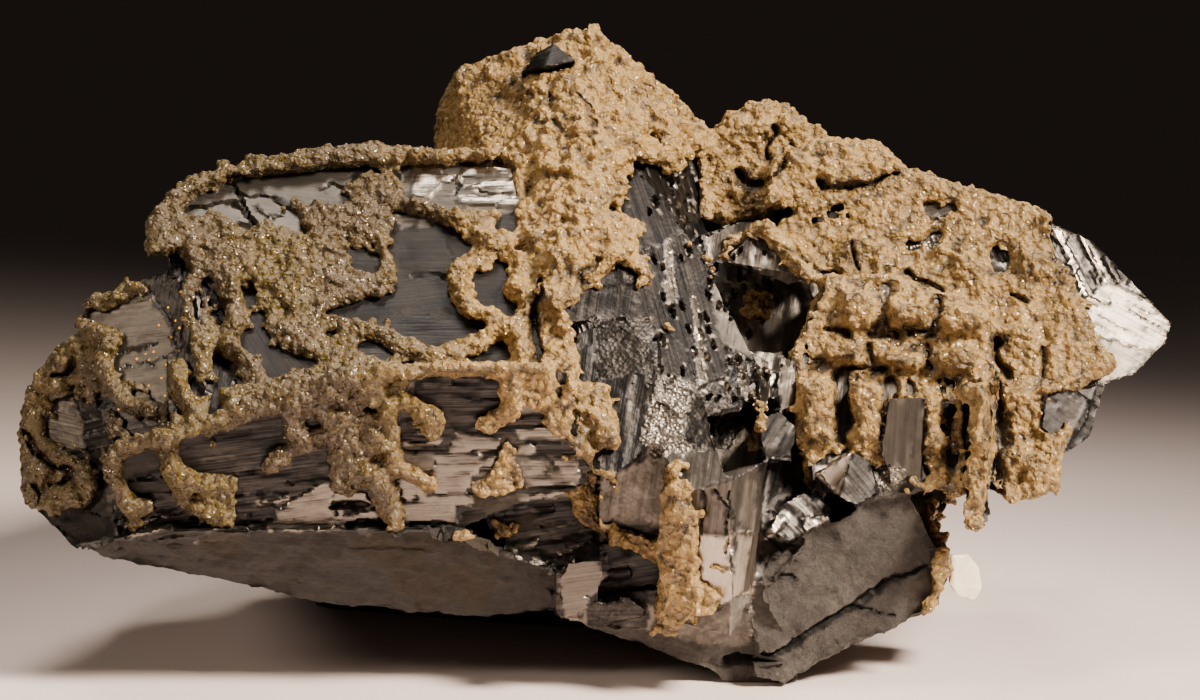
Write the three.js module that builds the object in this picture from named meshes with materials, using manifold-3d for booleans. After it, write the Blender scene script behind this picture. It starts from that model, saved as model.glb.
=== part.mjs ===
// Arsenopyrite cluster with a siderite crust, about 142 mm across, resting on its broken root.
//
// Millimetres, +Z up, the viewer in front on -Y. The origin is on the flat resting face, under the
// middle of the whole specimen.
// The specimen is laid out on a display sheet: `across` runs right and `up` runs up in the view
// from its show side, which looks down on it by VIEW_TILT, and `deep` runs away from the viewer.
import * as THREE from "three";
import { ConvexGeometry } from "three/addons/geometries/ConvexGeometry.js";
import { mergeVertices } from "three/addons/utils/BufferGeometryUtils.js";
import Module from "manifold-3d";

const wasm = await Module();
wasm.setup();

// ---------------------------------------------------------------- driving dimensions
const VIEW_TILT = THREE.MathUtils.degToRad(10); // the show side is seen from this far above
const VIEW_DISTANCE = 700; // from the viewer to the middle of the specimen
const SHEET_CENTRE = [75, 43.75]; // the middle of the display sheet
const SHEET_HEIGHT = 36.6; // of the sheet's middle above the resting face

const CRUST_GAP = 0.3; // between the crust and the metal
const THIN = 0.8; // crust thicknesses, from a film to stubby coated blocks
const MEDIUM = 1.4;
const THICK = 2.1;
const KNOB = 2.5;
const BLOCK = 4.0;
const IN_FRONT = -50; // nothing lies nearer to the viewer than this, behind the sheet
const BEHIND = 60; // or further away than this
const BARE_DEPTH = 8; // how far behind the sheet the crust's bare spots reach
const SAME_FACE = 0.9995; // normals closer than this cosine belong to one flat face
const LONGEST_MITRE = 2.5; // a sharp corner moves out by at most this many thicknesses
const LUMP_LIFT = 0.45; // from the crystal to the underside of a lump
const LUMP_HEIGHT = 0.72; // of a lump, for each mm of its width
const LUMP_TOP = 0.55; // of a lump's blunt top, for each mm of its foot
const LUMP_VARIETY = { radius: [0.54, 0.7], height: [0.85, 1.15], turn: [0, 0.4] };
const RIDGE_STEP = 5.4; // between the lumps that a crust ridge is made of
const BLOCK_CUT = 0.3; // of a coated block's short side, cut off its corners
const BLOCK_INSET = 0.6; // of a coated block's front, inside its foot
const BLOCK_ROOT = 2; // how deep a coated block starts in the crystal
const CRUST_LOWEST = 1.2; // the crust stays this far above the resting face
const SMALLEST_TUFT = 6; // mm3: loose crumbs of crust under this are left out

// ---------------------------------------------------------------- the display sheet
const forward = new THREE.Vector3(0, Math.cos(VIEW_TILT), -Math.sin(VIEW_TILT));
const upward = new THREE.Vector3(0, Math.sin(VIEW_TILT), Math.cos(VIEW_TILT));
const sheetMiddle = new THREE.Vector3(0, 0, SHEET_HEIGHT);
const viewer = sheetMiddle.clone().addScaledVector(forward, -VIEW_DISTANCE);

// The point that lies `across` and `up` on the sheet, `deep` behind it.
function at([across, up, deep]) {
  const spread = (VIEW_DISTANCE + deep) / VIEW_DISTANCE;
  return sheetMiddle
    .clone()
    .addScaledVector(forward, deep)
    .add(new THREE.Vector3((across - SHEET_CENTRE[0]) * spread, 0, 0))
    .addScaledVector(upward, (up - SHEET_CENTRE[1]) * spread);
}

// ---------------------------------------------------------------- solids
function solidOf(geometry) {
  const bare = geometry.clone();
  bare.deleteAttribute("normal");
  bare.deleteAttribute("uv");
  const merged = mergeVertices(bare, 1e-4);
  return new wasm.Manifold(
    new wasm.Mesh({
      numProp: 3,
      vertProperties: merged.attributes.position.array,
      triVerts: new Uint32Array(merged.index.array),
    }),
  );
}

function geometryOf(solid) {
  const mesh = solid.getMesh();
  const geometry = new THREE.BufferGeometry();
  geometry.setAttribute("position", new THREE.BufferAttribute(mesh.vertProperties, mesh.numProp));
  geometry.setIndex(new THREE.BufferAttribute(mesh.triVerts, 1));
  geometry.computeVertexNormals();
  return geometry;
}

const joined = (solids) => solids.reduce((all, one) => all.add(one));
const hull = (points) => solidOf(new ConvexGeometry(points));

// The corners of a crystal, moved out until each of its faces lies `by` further out.
function grown(points, by) {
  const faces = new ConvexGeometry(points).attributes.position;
  const meeting = new Map(); // each corner, with the ways that the faces round it look
  for (let k = 0; k < faces.count; k += 3) {
    const [a, b, c] = [0, 1, 2].map((step) => new THREE.Vector3().fromBufferAttribute(faces, k + step));
    const normal = new THREE.Triangle(a, b, c).getNormal(new THREE.Vector3());
    for (const corner of [a, b, c]) {
      const key = corner.toArray().map((value) => value.toFixed(3)).join();
      if (!meeting.has(key)) meeting.set(key, { corner, normals: [] });
      const { normals } = meeting.get(key);
      if (!normals.some((known) => known.dot(normal) > SAME_FACE)) normals.push(normal);
    }
  }
  return [...meeting.values()].map(({ corner, normals }) => moved(corner, normals, by));
}

// The corner moved by the step that takes it `by` along each of these normals, as nearly as one can.
function moved(corner, normals, by) {
  const pull = new THREE.Vector3();
  const sum = [1e-3, 0, 0, 0, 1e-3, 0, 0, 0, 1e-3];
  for (const { x, y, z } of normals) {
    const outer = [x * x, x * y, x * z, y * x, y * y, y * z, z * x, z * y, z * z];
    outer.forEach((value, k) => (sum[k] += value));
    pull.add(new THREE.Vector3(x, y, z).multiplyScalar(by));
  }
  const step = pull.applyMatrix3(new THREE.Matrix3().set(...sum).invert());
  return corner.clone().add(step.clampLength(0, LONGEST_MITRE * by));
}

// ---------------------------------------------------------------- crystals
// A prism whose front face has this outline on the sheet. The face is `deep` behind the sheet at
// its middle, gets deeper by `lean` per mm upwards and by `turn` per mm to the right, and the prism
// runs `length` back, where every second corner is left, scaled by `taper` and moved by `shift`.
function prism(outline, { deep, lean = 0, turn = 0, length, taper = 0.9, shift = [0, 0] }) {
  const middle = [0, 1].map((k) => outline.reduce((sum, p) => sum + p[k], 0) / outline.length);
  const front = outline.map(([across, up]) => [
    across,
    up,
    deep + lean * (up - middle[1]) + turn * (across - middle[0]),
  ]);
  const back = outline
    .filter((_, k) => k % 2 === 0)
    .map(([across, up]) => [
      middle[0] + (across - middle[0]) * taper + shift[0],
      middle[1] + (up - middle[1]) * taper + shift[1],
      deep + length,
    ]);
  return [...front, ...back].map(at);
}

const corners = (list) => list.map(at);

// Each crystal is the convex hull of its corners.
const crystals = {
  // the big tabular crystal on the left: its upper face leans back, its lower face leans under
  tabularUpper: prism(
    [
      [20.4, 59.5], [24.6, 63.8], [34, 66.3], [47, 67.5], [64, 66.6], [67, 52], [71, 41],
      [53, 40.5], [29, 34.8], [21, 33.2], [21, 50],
    ],
    { deep: -20, lean: 0.75, length: 40, taper: 0.86 },
  ),
  tabularLower: prism(
    [
      [13, 30.5], [20, 33], [41, 38.7], [53, 41.2], [71, 41.2], [74, 27], [57, 21], [40, 20.3],
      [15, 20.7],
    ],
    { deep: -32, lean: -0.28, length: 44, taper: 0.8, shift: [2, 2] },
  ),
  tabularRoot: prism(
    [[9.5, 19.5], [20, 21.5], [57, 21.3], [70, 16], [70.5, 10.2], [50, 10.2], [32, 13], [14, 17]],
    { deep: -27, lean: -0.9, length: 44, taper: 0.9, shift: [3, 3] },
  ),
  // growth steps that end it on the left
  stepUpper: prism(
    [[9.5, 48], [12, 50.3], [20, 54], [25, 52], [26, 37], [14, 31], [9, 43]],
    { deep: -24, lean: 0.35, turn: -0.5, length: 30, taper: 0.85, shift: [4, 0] },
  ),
  stepEnd: prism(
    [[3.2, 33], [4, 37.5], [9, 45], [13, 46], [17, 36], [15, 20.5], [9.5, 18.3], [4.3, 23.5]],
    { deep: -21, lean: 0.05, turn: -0.6, length: 26, taper: 0.75, shift: [5, 3] },
  ),
  // the tall crystal in the middle, with an edge towards the viewer
  peak: corners([
    [73.8, 82.2, 3], [67.8, 80.6, 5], [58.3, 77.3, 9], [55.6, 66.5, 9], [63, 56, -12], [70, 47, -27],
    [78, 48, -22], [87.5, 69.5, 10], [82.8, 74.6, 8], [88.5, 60, 6], [88, 44, -6],
    [61, 75, 30], [75, 77.5, 28], [86, 65, 32], [57, 60, 32], [60, 36, 30], [88, 36, 30],
  ]),
  peakSpur: corners([
    [55.6, 67, 11], [56.2, 73.5, 12], [58.2, 77, 13], [61, 77.3, 13], [62, 66, 6], [58, 60, 8],
    [59, 74, 29], [62, 74, 29], [58, 62, 30],
  ]),
  peakLens: corners([
    [64.8, 78.4, -1.5], [66.8, 81.2, -0.5], [69.3, 82.4, -0.5], [72.4, 79.9, -2], [68, 79.1, -3.4],
    [65, 76, 6], [70, 76, 6],
  ]),
  flank: prism(
    [[76, 62], [80, 66.5], [88, 56], [95, 42], [93, 36], [86, 35], [80, 39], [76, 50]],
    { deep: -19, lean: 0.8, turn: 0.35, length: 30, taper: 0.9 },
  ),
  knuckle: prism(
    [[72, 46], [77, 48], [82, 44], [82.5, 38], [81, 31], [76, 27], [71, 31], [70, 38]],
    { deep: -28.5, lean: 0.35, length: 22, taper: 0.9 },
  ),
  grainyFacet: prism(
    [[83, 40.5], [88, 38.5], [88.5, 31], [91.5, 25.5], [86, 26], [80.5, 33]],
    { deep: -30.5, lean: 0.5, turn: -0.15, length: 18 },
  ),
  // the stout upright prism at the front, tilted to face down
  pillar: corners([
    [83, 25.5, -32], [91.3, 27.5, -36], [96.3, 30.5, -30], [94, 12.5, -27],
    [91.6, 7.5, -30], [84, 9, -27],
    [85, 27, -12], [96, 28, -12], [94, 10, -12], [84, 9, -12],
  ]),
  lowerShelf: prism(
    [[60, 23], [64, 29], [76, 31.5], [85, 31.5], [85, 12], [76, 11.5], [70, 14], [62, 18.5]],
    { deep: -25.5, lean: -0.2, length: 24 },
  ),
  lowerPlate: prism(
    [[70.2, 10], [69.7, 15.3], [71, 17.2], [75.6, 17.8], [75, 12], [73.2, 11]],
    { deep: -30.3, lean: -0.3, length: 12 },
  ),
  lowerStub: prism(
    [[73.5, 12], [78.5, 13], [81, 11.5], [80.5, 9.8], [76, 9.4], [73.5, 10.3]],
    { deep: -27.5, lean: -0.4, length: 12 },
  ),
  // the broken, massive root that the cluster stands on
  rootMiddle: prism(
    [[68, 13], [84, 14], [96, 15], [100, 2.5], [97.5, 1.5], [93, 1.7], [80, 6.3], [70, 9.8]],
    { deep: -22, lean: -0.55, length: 44, taper: 0.9, shift: [0, 7] },
  ),
  rootRight: prism(
    [[94, 13], [101, 20.5], [113, 27.5], [118.8, 17], [118, 11.4], [111, 9.3], [98, 1.8], [94, 2.5]],
    { deep: -21, lean: -0.1, turn: 0.2, length: 46, taper: 0.8, shift: [-2, 7] },
  ),
  rootHeel: corners([
    [44, 12, 19], [58, 10.5, 16], [76, 8, 10], [40, 10.5, 24], [42, 11.5, 40], [70, 12, 48], [96, 11, 44],
    [34, 24, 20], [36, 30, 40], [66, 26, 46], [104, 26, 40], [104, 13, 30], [100, 6, 10],
  ]),
  // the big crystal on the right, its show face leaning back, and its broken bright tip
  wedge: prism(
    [
      [97, 59], [104, 62.6], [114, 65.2], [132, 60.2], [138, 42], [136, 35], [130, 27], [126, 26],
      [103, 47],
    ],
    { deep: -8, lean: 0.5, turn: -0.1, length: 38, taper: 0.82, shift: [-3, 0] },
  ),
  wedgeTip: prism(
    [
      [131, 60.3], [136.5, 58], [140, 53], [146.8, 47.3], [146, 44.5], [142, 40.5], [137, 39],
      [132, 46],
    ],
    { deep: -7.5, lean: 0.45, turn: 0.3, length: 24, taper: 0.55, shift: [-6, 0] },
  ),
  wedgeKeel: prism(
    [[130.5, 39], [138.5, 39.5], [136.5, 33], [133.5, 30.5], [130, 34]],
    { deep: -16, lean: 0.2, turn: 0.5, length: 20, taper: 0.8 },
  ),
  comb: prism(
    [[99.7, 44], [103, 52.5], [110, 53], [123, 49], [125, 40], [124.5, 27], [108, 24.5], [101.5, 26]],
    { deep: -17.2, lean: 0.35, turn: 0.02, length: 34 },
  ),
  combTooth: prism(
    [[120.4, 40], [123.8, 40], [123.8, 22], [120.4, 21.4]],
    { deep: -23, lean: 0.2, length: 10 },
  ),
  combLedge: prism(
    [[111, 38], [116, 38], [115.3, 26.5], [111.5, 26], [110, 31]],
    { deep: -22.5, lean: -0.12, length: 12 },
  ),
  chipBright: prism(
    [[102.3, 28.5], [106.6, 31.2], [104.7, 25.2]],
    { deep: -24, lean: -0.3, turn: 0.3, length: 10 },
  ),
  chipDark: prism(
    [[106.6, 31.2], [109, 30], [109.8, 26], [107.5, 24], [104.7, 25.2]],
    { deep: -24, lean: 0.2, turn: 0.5, length: 12 },
  ),
  chipGrey: prism(
    [[96, 21], [97.5, 24.5], [100.5, 26.5], [104.5, 24.3], [104, 22.5], [98.5, 19.3]],
    { deep: -23.5, lean: 0.3, turn: 0.2, length: 12 },
  ),
  recess: prism(
    [[88, 44], [98, 44], [101, 36], [104, 28], [104, 22], [97, 17], [93, 14], [89, 30]],
    { deep: -18, lean: 0.3, turn: 0.1, length: 24 },
  ),
  recessBlock: prism(
    [[94.5, 35], [97.5, 36.3], [99.7, 34.3], [99.2, 29.5], [95.5, 30]],
    { deep: -23, lean: 0.1, turn: 0.5, length: 10 },
  ),
  bladeBright: prism(
    [[91.3, 42.5], [93.5, 44], [96.3, 42.5], [96.8, 37.5], [94.5, 35.8], [92, 38.5]],
    { deep: -20, lean: 0.35, turn: -0.1, length: 12 },
  ),
  bladeGrey: prism(
    [[97.2, 43.3], [99.7, 43], [99.8, 36.5], [97.2, 36]],
    { deep: -20, lean: 0.1, turn: 0.6, length: 12 },
  ),
  cavityWall: prism(
    [[87, 58], [91, 60], [96, 60], [104, 57], [104, 44], [97, 41], [91, 44]],
    { deep: -2, lean: 0.35, length: 30 },
  ),
  cavityBrow: corners([
    [89.7, 55, -9], [95.5, 59.8, -7], [103, 52.5, -11], [98.5, 51.5, -9], [95, 56, -6], [92, 54, -6],
    [91, 55, 4], [96, 60, 4], [103, 54, 4],
  ]),
  // the small crystals behind the gap
  rearLeft: prism(
    [
      [88.6, 69], [93, 72], [95.5, 73], [97.3, 73], [99.5, 71], [103, 68.5], [103, 62], [96, 59],
      [88.2, 60],
    ],
    { deep: 10, lean: 0.5, length: 24 },
  ),
  rearRight: prism(
    [[98, 66], [102, 68.4], [108.5, 68], [112, 65.2], [110, 63], [98, 62]],
    { deep: 2, lean: 0.6, length: 26 },
  ),
  // the far side: the backs of the same crystals, and smaller ones between them
  core: corners([
    [24, 58, 8], [60, 64, 12], [100, 60, 12], [128, 55, 8], [132, 44, 4], [122, 32, 2], [112, 16, 0],
    [96, 6, 4], [70, 11, 0], [24, 22, 0], [16, 34, 0],
    [34, 54, 28], [72, 60, 32], [104, 56, 30], [122, 48, 28], [112, 22, 28], [44, 22, 30],
  ]),
  backTabular: corners([
    [22, 56, 10], [34, 63, 16], [55, 64, 18], [22, 24, 10], [52, 20, 14],
    [28, 53, 33], [50, 58, 37], [53, 30, 39], [33, 24, 34],
  ]),
  backStep: corners([
    [14, 46, 6], [18, 50, 10], [30, 50, 24], [12, 28, 6], [16, 22, 10], [30, 22, 24],
    [20, 45, 24], [19, 28, 23],
  ]),
  backProw: corners([
    [50, 52, 26], [62, 58, 24], [70, 50, 24], [48, 34, 26], [68, 30, 26],
    [56, 50, 47], [62, 53, 45], [64, 38, 48], [55, 36, 46],
  ]),
  backColumn: corners([
    [72, 66, 22], [84, 62, 22], [90, 40, 24], [74, 22, 26], [86, 20, 26],
    [77, 58, 42], [84, 55, 41], [86, 28, 45], [76, 27, 46],
  ]),
  backKnob: corners([
    [94, 62, 14], [114, 60, 14], [120, 42, 14], [92, 38, 14],
    [98, 56, 42], [109, 57, 41], [113, 45, 40], [98, 41, 44],
  ]),
  backWedge: corners([
    [106, 40, 16], [124, 50, 14], [128, 40, 10], [116, 20, 10], [104, 16, 14],
    [112, 40, 36], [121, 43, 31], [114, 24, 34], [106, 26, 38],
  ]),
};

function bodyGrown(by) {
  return joined(Object.values(crystals).map((points) => hull(by ? grown(points, by) : points)));
}

// Everything below this height.
function below(height) {
  const side = 400;
  return solidOf(new THREE.BoxGeometry(side, side, side).translate(0, 0, height - side / 2));
}

const body = bodyGrown(0).subtract(below(0));
const bodyWithGap = bodyGrown(CRUST_GAP);

// ---------------------------------------------------------------- siderite crust
const bodyMesh = new THREE.Mesh(geometryOf(body));
const caster = new THREE.Raycaster();

// The first point of the bare crystals behind this place on the sheet, which way it faces, and the
// way the viewer looks there. Beside the crystals there is none.
function surfaceAt([across, up]) {
  const towards = at([across, up, 0]).sub(viewer).normalize();
  caster.set(viewer, towards);
  const [hit] = caster.intersectObject(bodyMesh);
  return hit ? { point: hit.point, normal: hit.face.normal.clone(), towards } : null;
}

// A seeded sequence from 0 to 1, so that the crust's lumps differ but never change.
function sequence(seed) {
  let state = seed;
  return () => {
    state = (state * 1664525 + 1013904223) % 4294967296;
    return state / 4294967296;
  };
}
const next = sequence(7);
const vary = ([least, most]) => least + (most - least) * next();

// A blunt lump `width` across, standing on the crystal at a spot and leaning towards the viewer.
function lump({ point, normal, towards }, width) {
  const side = new THREE.Vector3(0, 0, 1).cross(normal).normalize();
  const rise = normal.clone().cross(side);
  const lean = normal.clone().sub(towards).normalize();
  const size = width * vary(LUMP_VARIETY.radius);
  const tall = width * LUMP_HEIGHT * vary(LUMP_VARIETY.height);
  const turn = vary(LUMP_VARIETY.turn);
  const ring = (radius, centre, count) =>
    Array.from({ length: count }, (_, k) => {
      const angle = turn + (k * 2 * Math.PI) / count;
      return centre
        .clone()
        .addScaledVector(side, radius * Math.cos(angle))
        .addScaledVector(rise, radius * Math.sin(angle));
    });
  const foot = point.clone().addScaledVector(normal, LUMP_LIFT);
  return [...ring(size, foot, 4), ...ring(size * LUMP_TOP, foot.clone().addScaledVector(lean, tall), 2)];
}

// A ridge of lumps run together along a path on the sheet.
function ridge(path, width) {
  const spots = [];
  path.forEach((end, k) => {
    if (k === 0) {
      spots.push(end);
      return;
    }
    const start = path[k - 1];
    const length = Math.hypot(end[0] - start[0], end[1] - start[1]);
    const count = Math.max(1, Math.round(length / RIDGE_STEP));
    for (let step = 1; step <= count; step++) {
      const t = step / count;
      spots.push([start[0] + (end[0] - start[0]) * t, start[1] + (end[1] - start[1]) * t]);
    }
  });
  const lumps = spots
    .map(surfaceAt)
    .filter((spot) => spot)
    .map((spot) => lump(spot, width));
  if (lumps.length === 1) return hull(lumps[0]);
  return joined(lumps.slice(1).map((points, k) => hull([...lumps[k], ...points])));
}

// The space behind an outline on the sheet, from `near` to `far` behind it.
function slab(outline, near, far) {
  const shape = new THREE.Shape(outline.map(([across, up]) => new THREE.Vector2(across, up)));
  const block = new THREE.ExtrudeGeometry(shape, { depth: far - near, bevelEnabled: false });
  const position = block.attributes.position;
  for (let k = 0; k < position.count; k++) {
    const place = at([position.getX(k), position.getY(k), near + position.getZ(k)]);
    position.setXYZ(k, place.x, place.y, place.z);
  }
  return turnedOut(block);
}

// A film of crust on some crystals, inside an outline on the sheet.
function film(outline, { on, thickness, near = IN_FRONT, far = BEHIND }) {
  const skin = joined(on.map((name) => hull(grown(crystals[name], thickness))));
  return skin.intersect(slab(outline, near, far));
}

// The display sheet's axes are left-handed, so what is laid out on it comes out inside out.
function turnedOut(geometry) {
  const flipped = geometry.index ? geometry.toNonIndexed() : geometry.clone();
  const position = flipped.attributes.position;
  for (let k = 0; k < position.count; k += 3) {
    const a = new THREE.Vector3().fromBufferAttribute(position, k);
    const b = new THREE.Vector3().fromBufferAttribute(position, k + 1);
    position.setXYZ(k, b.x, b.y, b.z);
    position.setXYZ(k + 1, a.x, a.y, a.z);
  }
  return solidOf(flipped);
}

// A crystal sheathed in crust: a blunt block over [left, low, right, high] on the sheet, standing
// `proud` of the crystal that it grew on.
function sheathed([left, low, right, high], proud) {
  const middle = [(left + right) / 2, (low + high) / 2];
  const { point } = surfaceAt(middle);
  const deep = point.clone().sub(sheetMiddle).dot(forward);
  const cut = Math.min(right - left, high - low) * BLOCK_CUT;
  const section = (inset, depth) => {
    const [l, b, r, t] = [left + inset, low + inset, right - inset, high - inset];
    return [[l + cut, b], [r, b], [r, t - cut], [r - cut, t], [l, t], [l, b + cut]].map(
      ([across, up]) => at([across, up, depth]),
    );
  };
  return hull([...section(BLOCK_INSET, deep - proud), ...section(0, deep + BLOCK_ROOT)]);
}

const films = [
  // over the top edge and the left edge of the tabular crystal
  film(
    [
      [18, 56], [17, 66], [30, 70], [52, 71], [66, 70], [66, 67.8], [50, 67.6], [40, 66.8],
      [30, 66], [24.5, 63.5], [22, 62], [23, 57.5], [21, 56],
    ],
    { on: ["tabularUpper"], thickness: THICK },
  ),
  film([[22.4, 57.8], [29.5, 57], [30, 60], [22.2, 61]], { on: ["tabularUpper"], thickness: MEDIUM }),
  // along its front edge
  film(
    [
      [13.5, 29.6], [20, 31.6], [29, 34.4], [41, 37.8], [53, 40.2], [68.5, 40.3], [68.5, 42.5],
      [53, 42.5], [41, 41], [30, 40.3], [27, 38.5], [28, 36.5], [20, 33.8], [13.5, 32],
    ],
    { on: ["tabularUpper", "tabularLower"], thickness: THICK, far: -15 },
  ),
  // the broad patch in its middle
  film(
    [
      [25, 54], [27, 57], [32, 60], [36, 58.3], [39, 58], [37, 61.5], [43, 62.3], [47.5, 66.5],
      [49, 60], [48, 56], [49.5, 53], [49, 51.3], [45, 50.5], [40, 49], [41, 47], [39, 43],
      [36, 44], [33.5, 46], [33, 49], [34, 51], [32, 53], [28, 52],
    ],
    { on: ["tabularUpper"], thickness: MEDIUM, far: 0 },
  ),
  // where it meets the lower face
  film(
    [
      [39, 42], [44, 44], [47, 41.5], [48, 37], [47.5, 30], [44, 25], [41.5, 26], [42, 32],
      [39.5, 35], [36.5, 37], [33, 38.5], [35, 41],
    ],
    { on: ["tabularUpper", "tabularLower"], thickness: MEDIUM },
  ),
  film(
    [
      [63.5, 33], [61, 28], [58.5, 27], [59, 25], [64, 25.5], [66, 26.5], [64.5, 31],
    ],
    { on: ["tabularLower"], thickness: THIN },
  ),
  film(
    [
      [65, 43], [66, 50], [64.5, 53.5], [67, 54], [69, 52], [71, 46], [71.5, 40], [68, 38],
    ],
    { on: ["tabularUpper", "knuckle"], thickness: MEDIUM },
  ),
  // the druse that coats the tall crystal
  film(
    [
      [50, 62], [51, 78], [58, 82], [67, 85], [74, 88], [82, 84], [91, 74], [91, 70.5], [85.5, 67],
      [78, 68], [78, 63], [75.5, 62], [80.5, 59], [79, 56], [72, 50], [69, 49], [62.5, 60],
      [63, 68], [53, 68],
    ],
    { on: ["peak", "peakSpur"], thickness: THICK },
  ),
  // the coats of the crystal on the right and of the pair behind it
  film(
    [
      [88, 60], [88, 78], [100, 77], [115, 70], [115, 66.6], [108, 65], [101, 62.5], [95, 61],
    ],
    { on: ["rearLeft", "rearRight"], thickness: THICK },
  ),
  // on the far side
  film(
    [
      [24, 52], [28, 58], [40, 62], [52, 62], [56, 55], [50, 50], [46, 41], [40, 43], [33, 40],
      [27, 44],
    ],
    { on: ["backTabular"], thickness: MEDIUM, near: 22 },
  ),
  film(
    [
      [98, 62], [112, 61], [117, 50], [112, 44], [104, 42], [99, 47], [96, 55],
    ],
    { on: ["backKnob"], thickness: THICK, near: 22 },
  ),
  film(
    [
      [76, 60], [86, 58], [87, 44], [82, 36], [77, 44],
    ],
    { on: ["backColumn"], thickness: MEDIUM, near: 22 },
  ),
  film(
    [
      [97, 59.5], [101, 62.5], [112, 66.5], [120, 66], [131, 62.5], [133.5, 55], [138, 44],
      [143.5, 42], [139, 41], [131, 38], [134.5, 34.5], [130, 24], [124.5, 24.5], [124.5, 48],
      [108, 53], [100, 55],
    ],
    { on: ["wedge"], thickness: MEDIUM },
  ),
  film(
    [
      [99, 44], [103, 53.5], [110, 54], [124.7, 50], [124.7, 24], [119, 24.5], [116, 29],
      [116, 38], [110.3, 38], [110, 29], [106, 32], [100, 29],
    ],
    { on: ["comb"], thickness: THIN, far: 0 },
  ),
  // below the bright facets in the middle
  film(
    [
      [68.5, 41], [76, 39.5], [77.5, 34], [74, 30.5], [70, 29], [68, 35],
    ],
    { on: ["knuckle"], thickness: MEDIUM },
  ),
  film(
    [
      [70, 29], [74, 30.5], [75, 22], [82, 19.5], [83, 29], [85, 30.5], [87, 22], [87, 13],
      [84, 7.2], [81, 7.5], [82.5, 17], [76, 19.5], [71.5, 23],
    ],
    { on: ["pillar", "lowerShelf"], thickness: MEDIUM, far: 0 },
  ),
  // over the far left steps
  film(
    [
      [2, 42], [9.6, 45.5], [6.5, 38], [5.4, 33], [11.5, 28.5], [10.5, 24], [2, 24],
    ],
    { on: ["stepEnd"], thickness: MEDIUM, far: 0 },
  ),
];

const ridges = [
  // the left end and its steps
  [[[9.7, 48.7], [12, 50], [16, 50.7]], 1.9],
  [[[10, 47], [14, 45.5], [13, 42], [13.5, 40], [16, 37], [20.5, 36.3]], 2.0],
  [[[14.3, 30], [14.5, 27], [16, 24], [18.5, 24.3]], 1.9],
  // the front edge of the tabular crystal
  [[[24.3, 35.5], [22.3, 39], [22, 42]], 2.2],
  [[[48, 36], [50, 37.7], [54.5, 35.5], [54.5, 33.5], [52, 34.5]], 2.0],
  [[[48.5, 36.5], [49.5, 29], [54, 27]], 2.0],
  [[[46, 30], [49.5, 22.8]], 2.2],
  [[[63.5, 40], [64, 36], [60.5, 34]], 2.2],
  [[[33.5, 29], [36, 30.8]], 2.2],
  [[[36.5, 36.5], [36.5, 33], [38.5, 31.8]], 1.9],
  // fingers on the lower face
  [[[21, 32], [21.5, 28.7], [25, 27.2], [28.5, 27]], 2.3],
  [[[21.8, 28], [23, 24.5], [28.5, 23.2]], 1.9],
  // worms on the upper face
  [[[28, 52], [29.8, 48], [28.3, 44.5], [32, 41.3]], 2.3],
  [[[23.8, 52.5], [25.6, 46], [25.4, 40.5]], 2.3],
  [[[21.3, 60], [21.6, 57]], 2.4],
  [[[23.3, 58], [24.5, 54.5]], 2.2],
  [[[49, 62.2], [54, 61.2], [56.5, 60], [61.5, 60.5]], 2.3],
  [[[60, 58.5], [61, 56], [57.3, 54.2], [57.6, 51.5], [58.5, 48.7], [62, 48]], 2.5],
  [[[63, 47.5], [60.5, 44.7], [53.5, 43.1], [48, 45.8], [42, 47]], 2.3],
  [[[40.5, 44], [43.5, 43], [43.8, 41.3]], 2.2],
  // between the tabular crystal and the tall one
  [[[62.3, 58], [65.3, 54.5], [64, 51.3], [66.3, 49.5], [64.5, 46.5], [65.5, 42.3]], 2.5],
  [[[69, 52.5], [69, 47.5]], 3.2],
  [[[71.5, 46], [71.3, 38.8]], 2.6],
  [[[75.5, 58.5], [78, 56.5]], 3.6],
  [[[79.8, 54.5], [81.3, 52.5]], 1.7],
  [[[74.8, 34.5], [76.3, 32.5]], 3.0],
  // on the front pillar
  [[[86.7, 13.5], [89.3, 12.3], [87.2, 11]], 2.2],
  // in the hollow and on the right crystal
  [[[93.8, 49], [94.5, 50]], 3.0],
  [[[90.5, 55.8], [95.3, 59.5], [98.3, 56], [101.3, 52.6]], 2.0],
  [[[130.5, 38.9], [135, 40.6], [139, 42.3]], 1.7],
  // down the right edge of the root
  [[[116.5, 24.5], [117.6, 18], [117.8, 13.5], [115.8, 10.9]], 2.3],
  [[[99, 66.3], [104, 68.5], [110, 67.8]], 4.4],
  [[[91.5, 70.8], [96, 73], [99.3, 71]], 3.6],
  // rounded knots on the tall crystal
  [[[72.3, 66], [72.8, 71], [72.5, 76]], 3.6],
  [[[74.3, 81.5], [73.6, 78]], 3.4],
  [[[73.5, 62], [72.5, 57.5]], 3.8],
  [[[79, 76.5], [81.5, 72], [79.5, 70]], 3.4],
  [[[83.6, 71.6], [86, 69.4]], 3.2],
];

// prisms coated to their ends, with dark gaps between them
const sheathedBlocks = [
  [104.2, 45.7, 109.8, 52], [110.7, 46.2, 116.6, 50.3], [117.2, 45.3, 123.3, 49.6],
  [102.7, 41.4, 108.8, 45.2], [109.6, 41.2, 115.6, 44], [116.3, 40.4, 122.6, 44.6],
  [100, 31.2, 105, 40.8], [105.7, 31.6, 110.3, 40.6], [115.6, 30.2, 118.8, 37.4],
  [120, 27, 124.4, 39.4], [120.2, 20.8, 124, 27.4],
];
// stubbier ones, half sunk in the right crystal's coat
const sheathedKnobs = [
  [125, 31, 130, 39.6], [126, 25.6, 133, 31.6], [130.6, 40.5, 135, 46.6],
  [124.4, 41.2, 129.6, 47.6], [104.8, 53.6, 110.2, 58.6], [118.6, 51.4, 123.4, 56.4],
  [126.6, 50.4, 131.6, 56.8],
];

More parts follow.
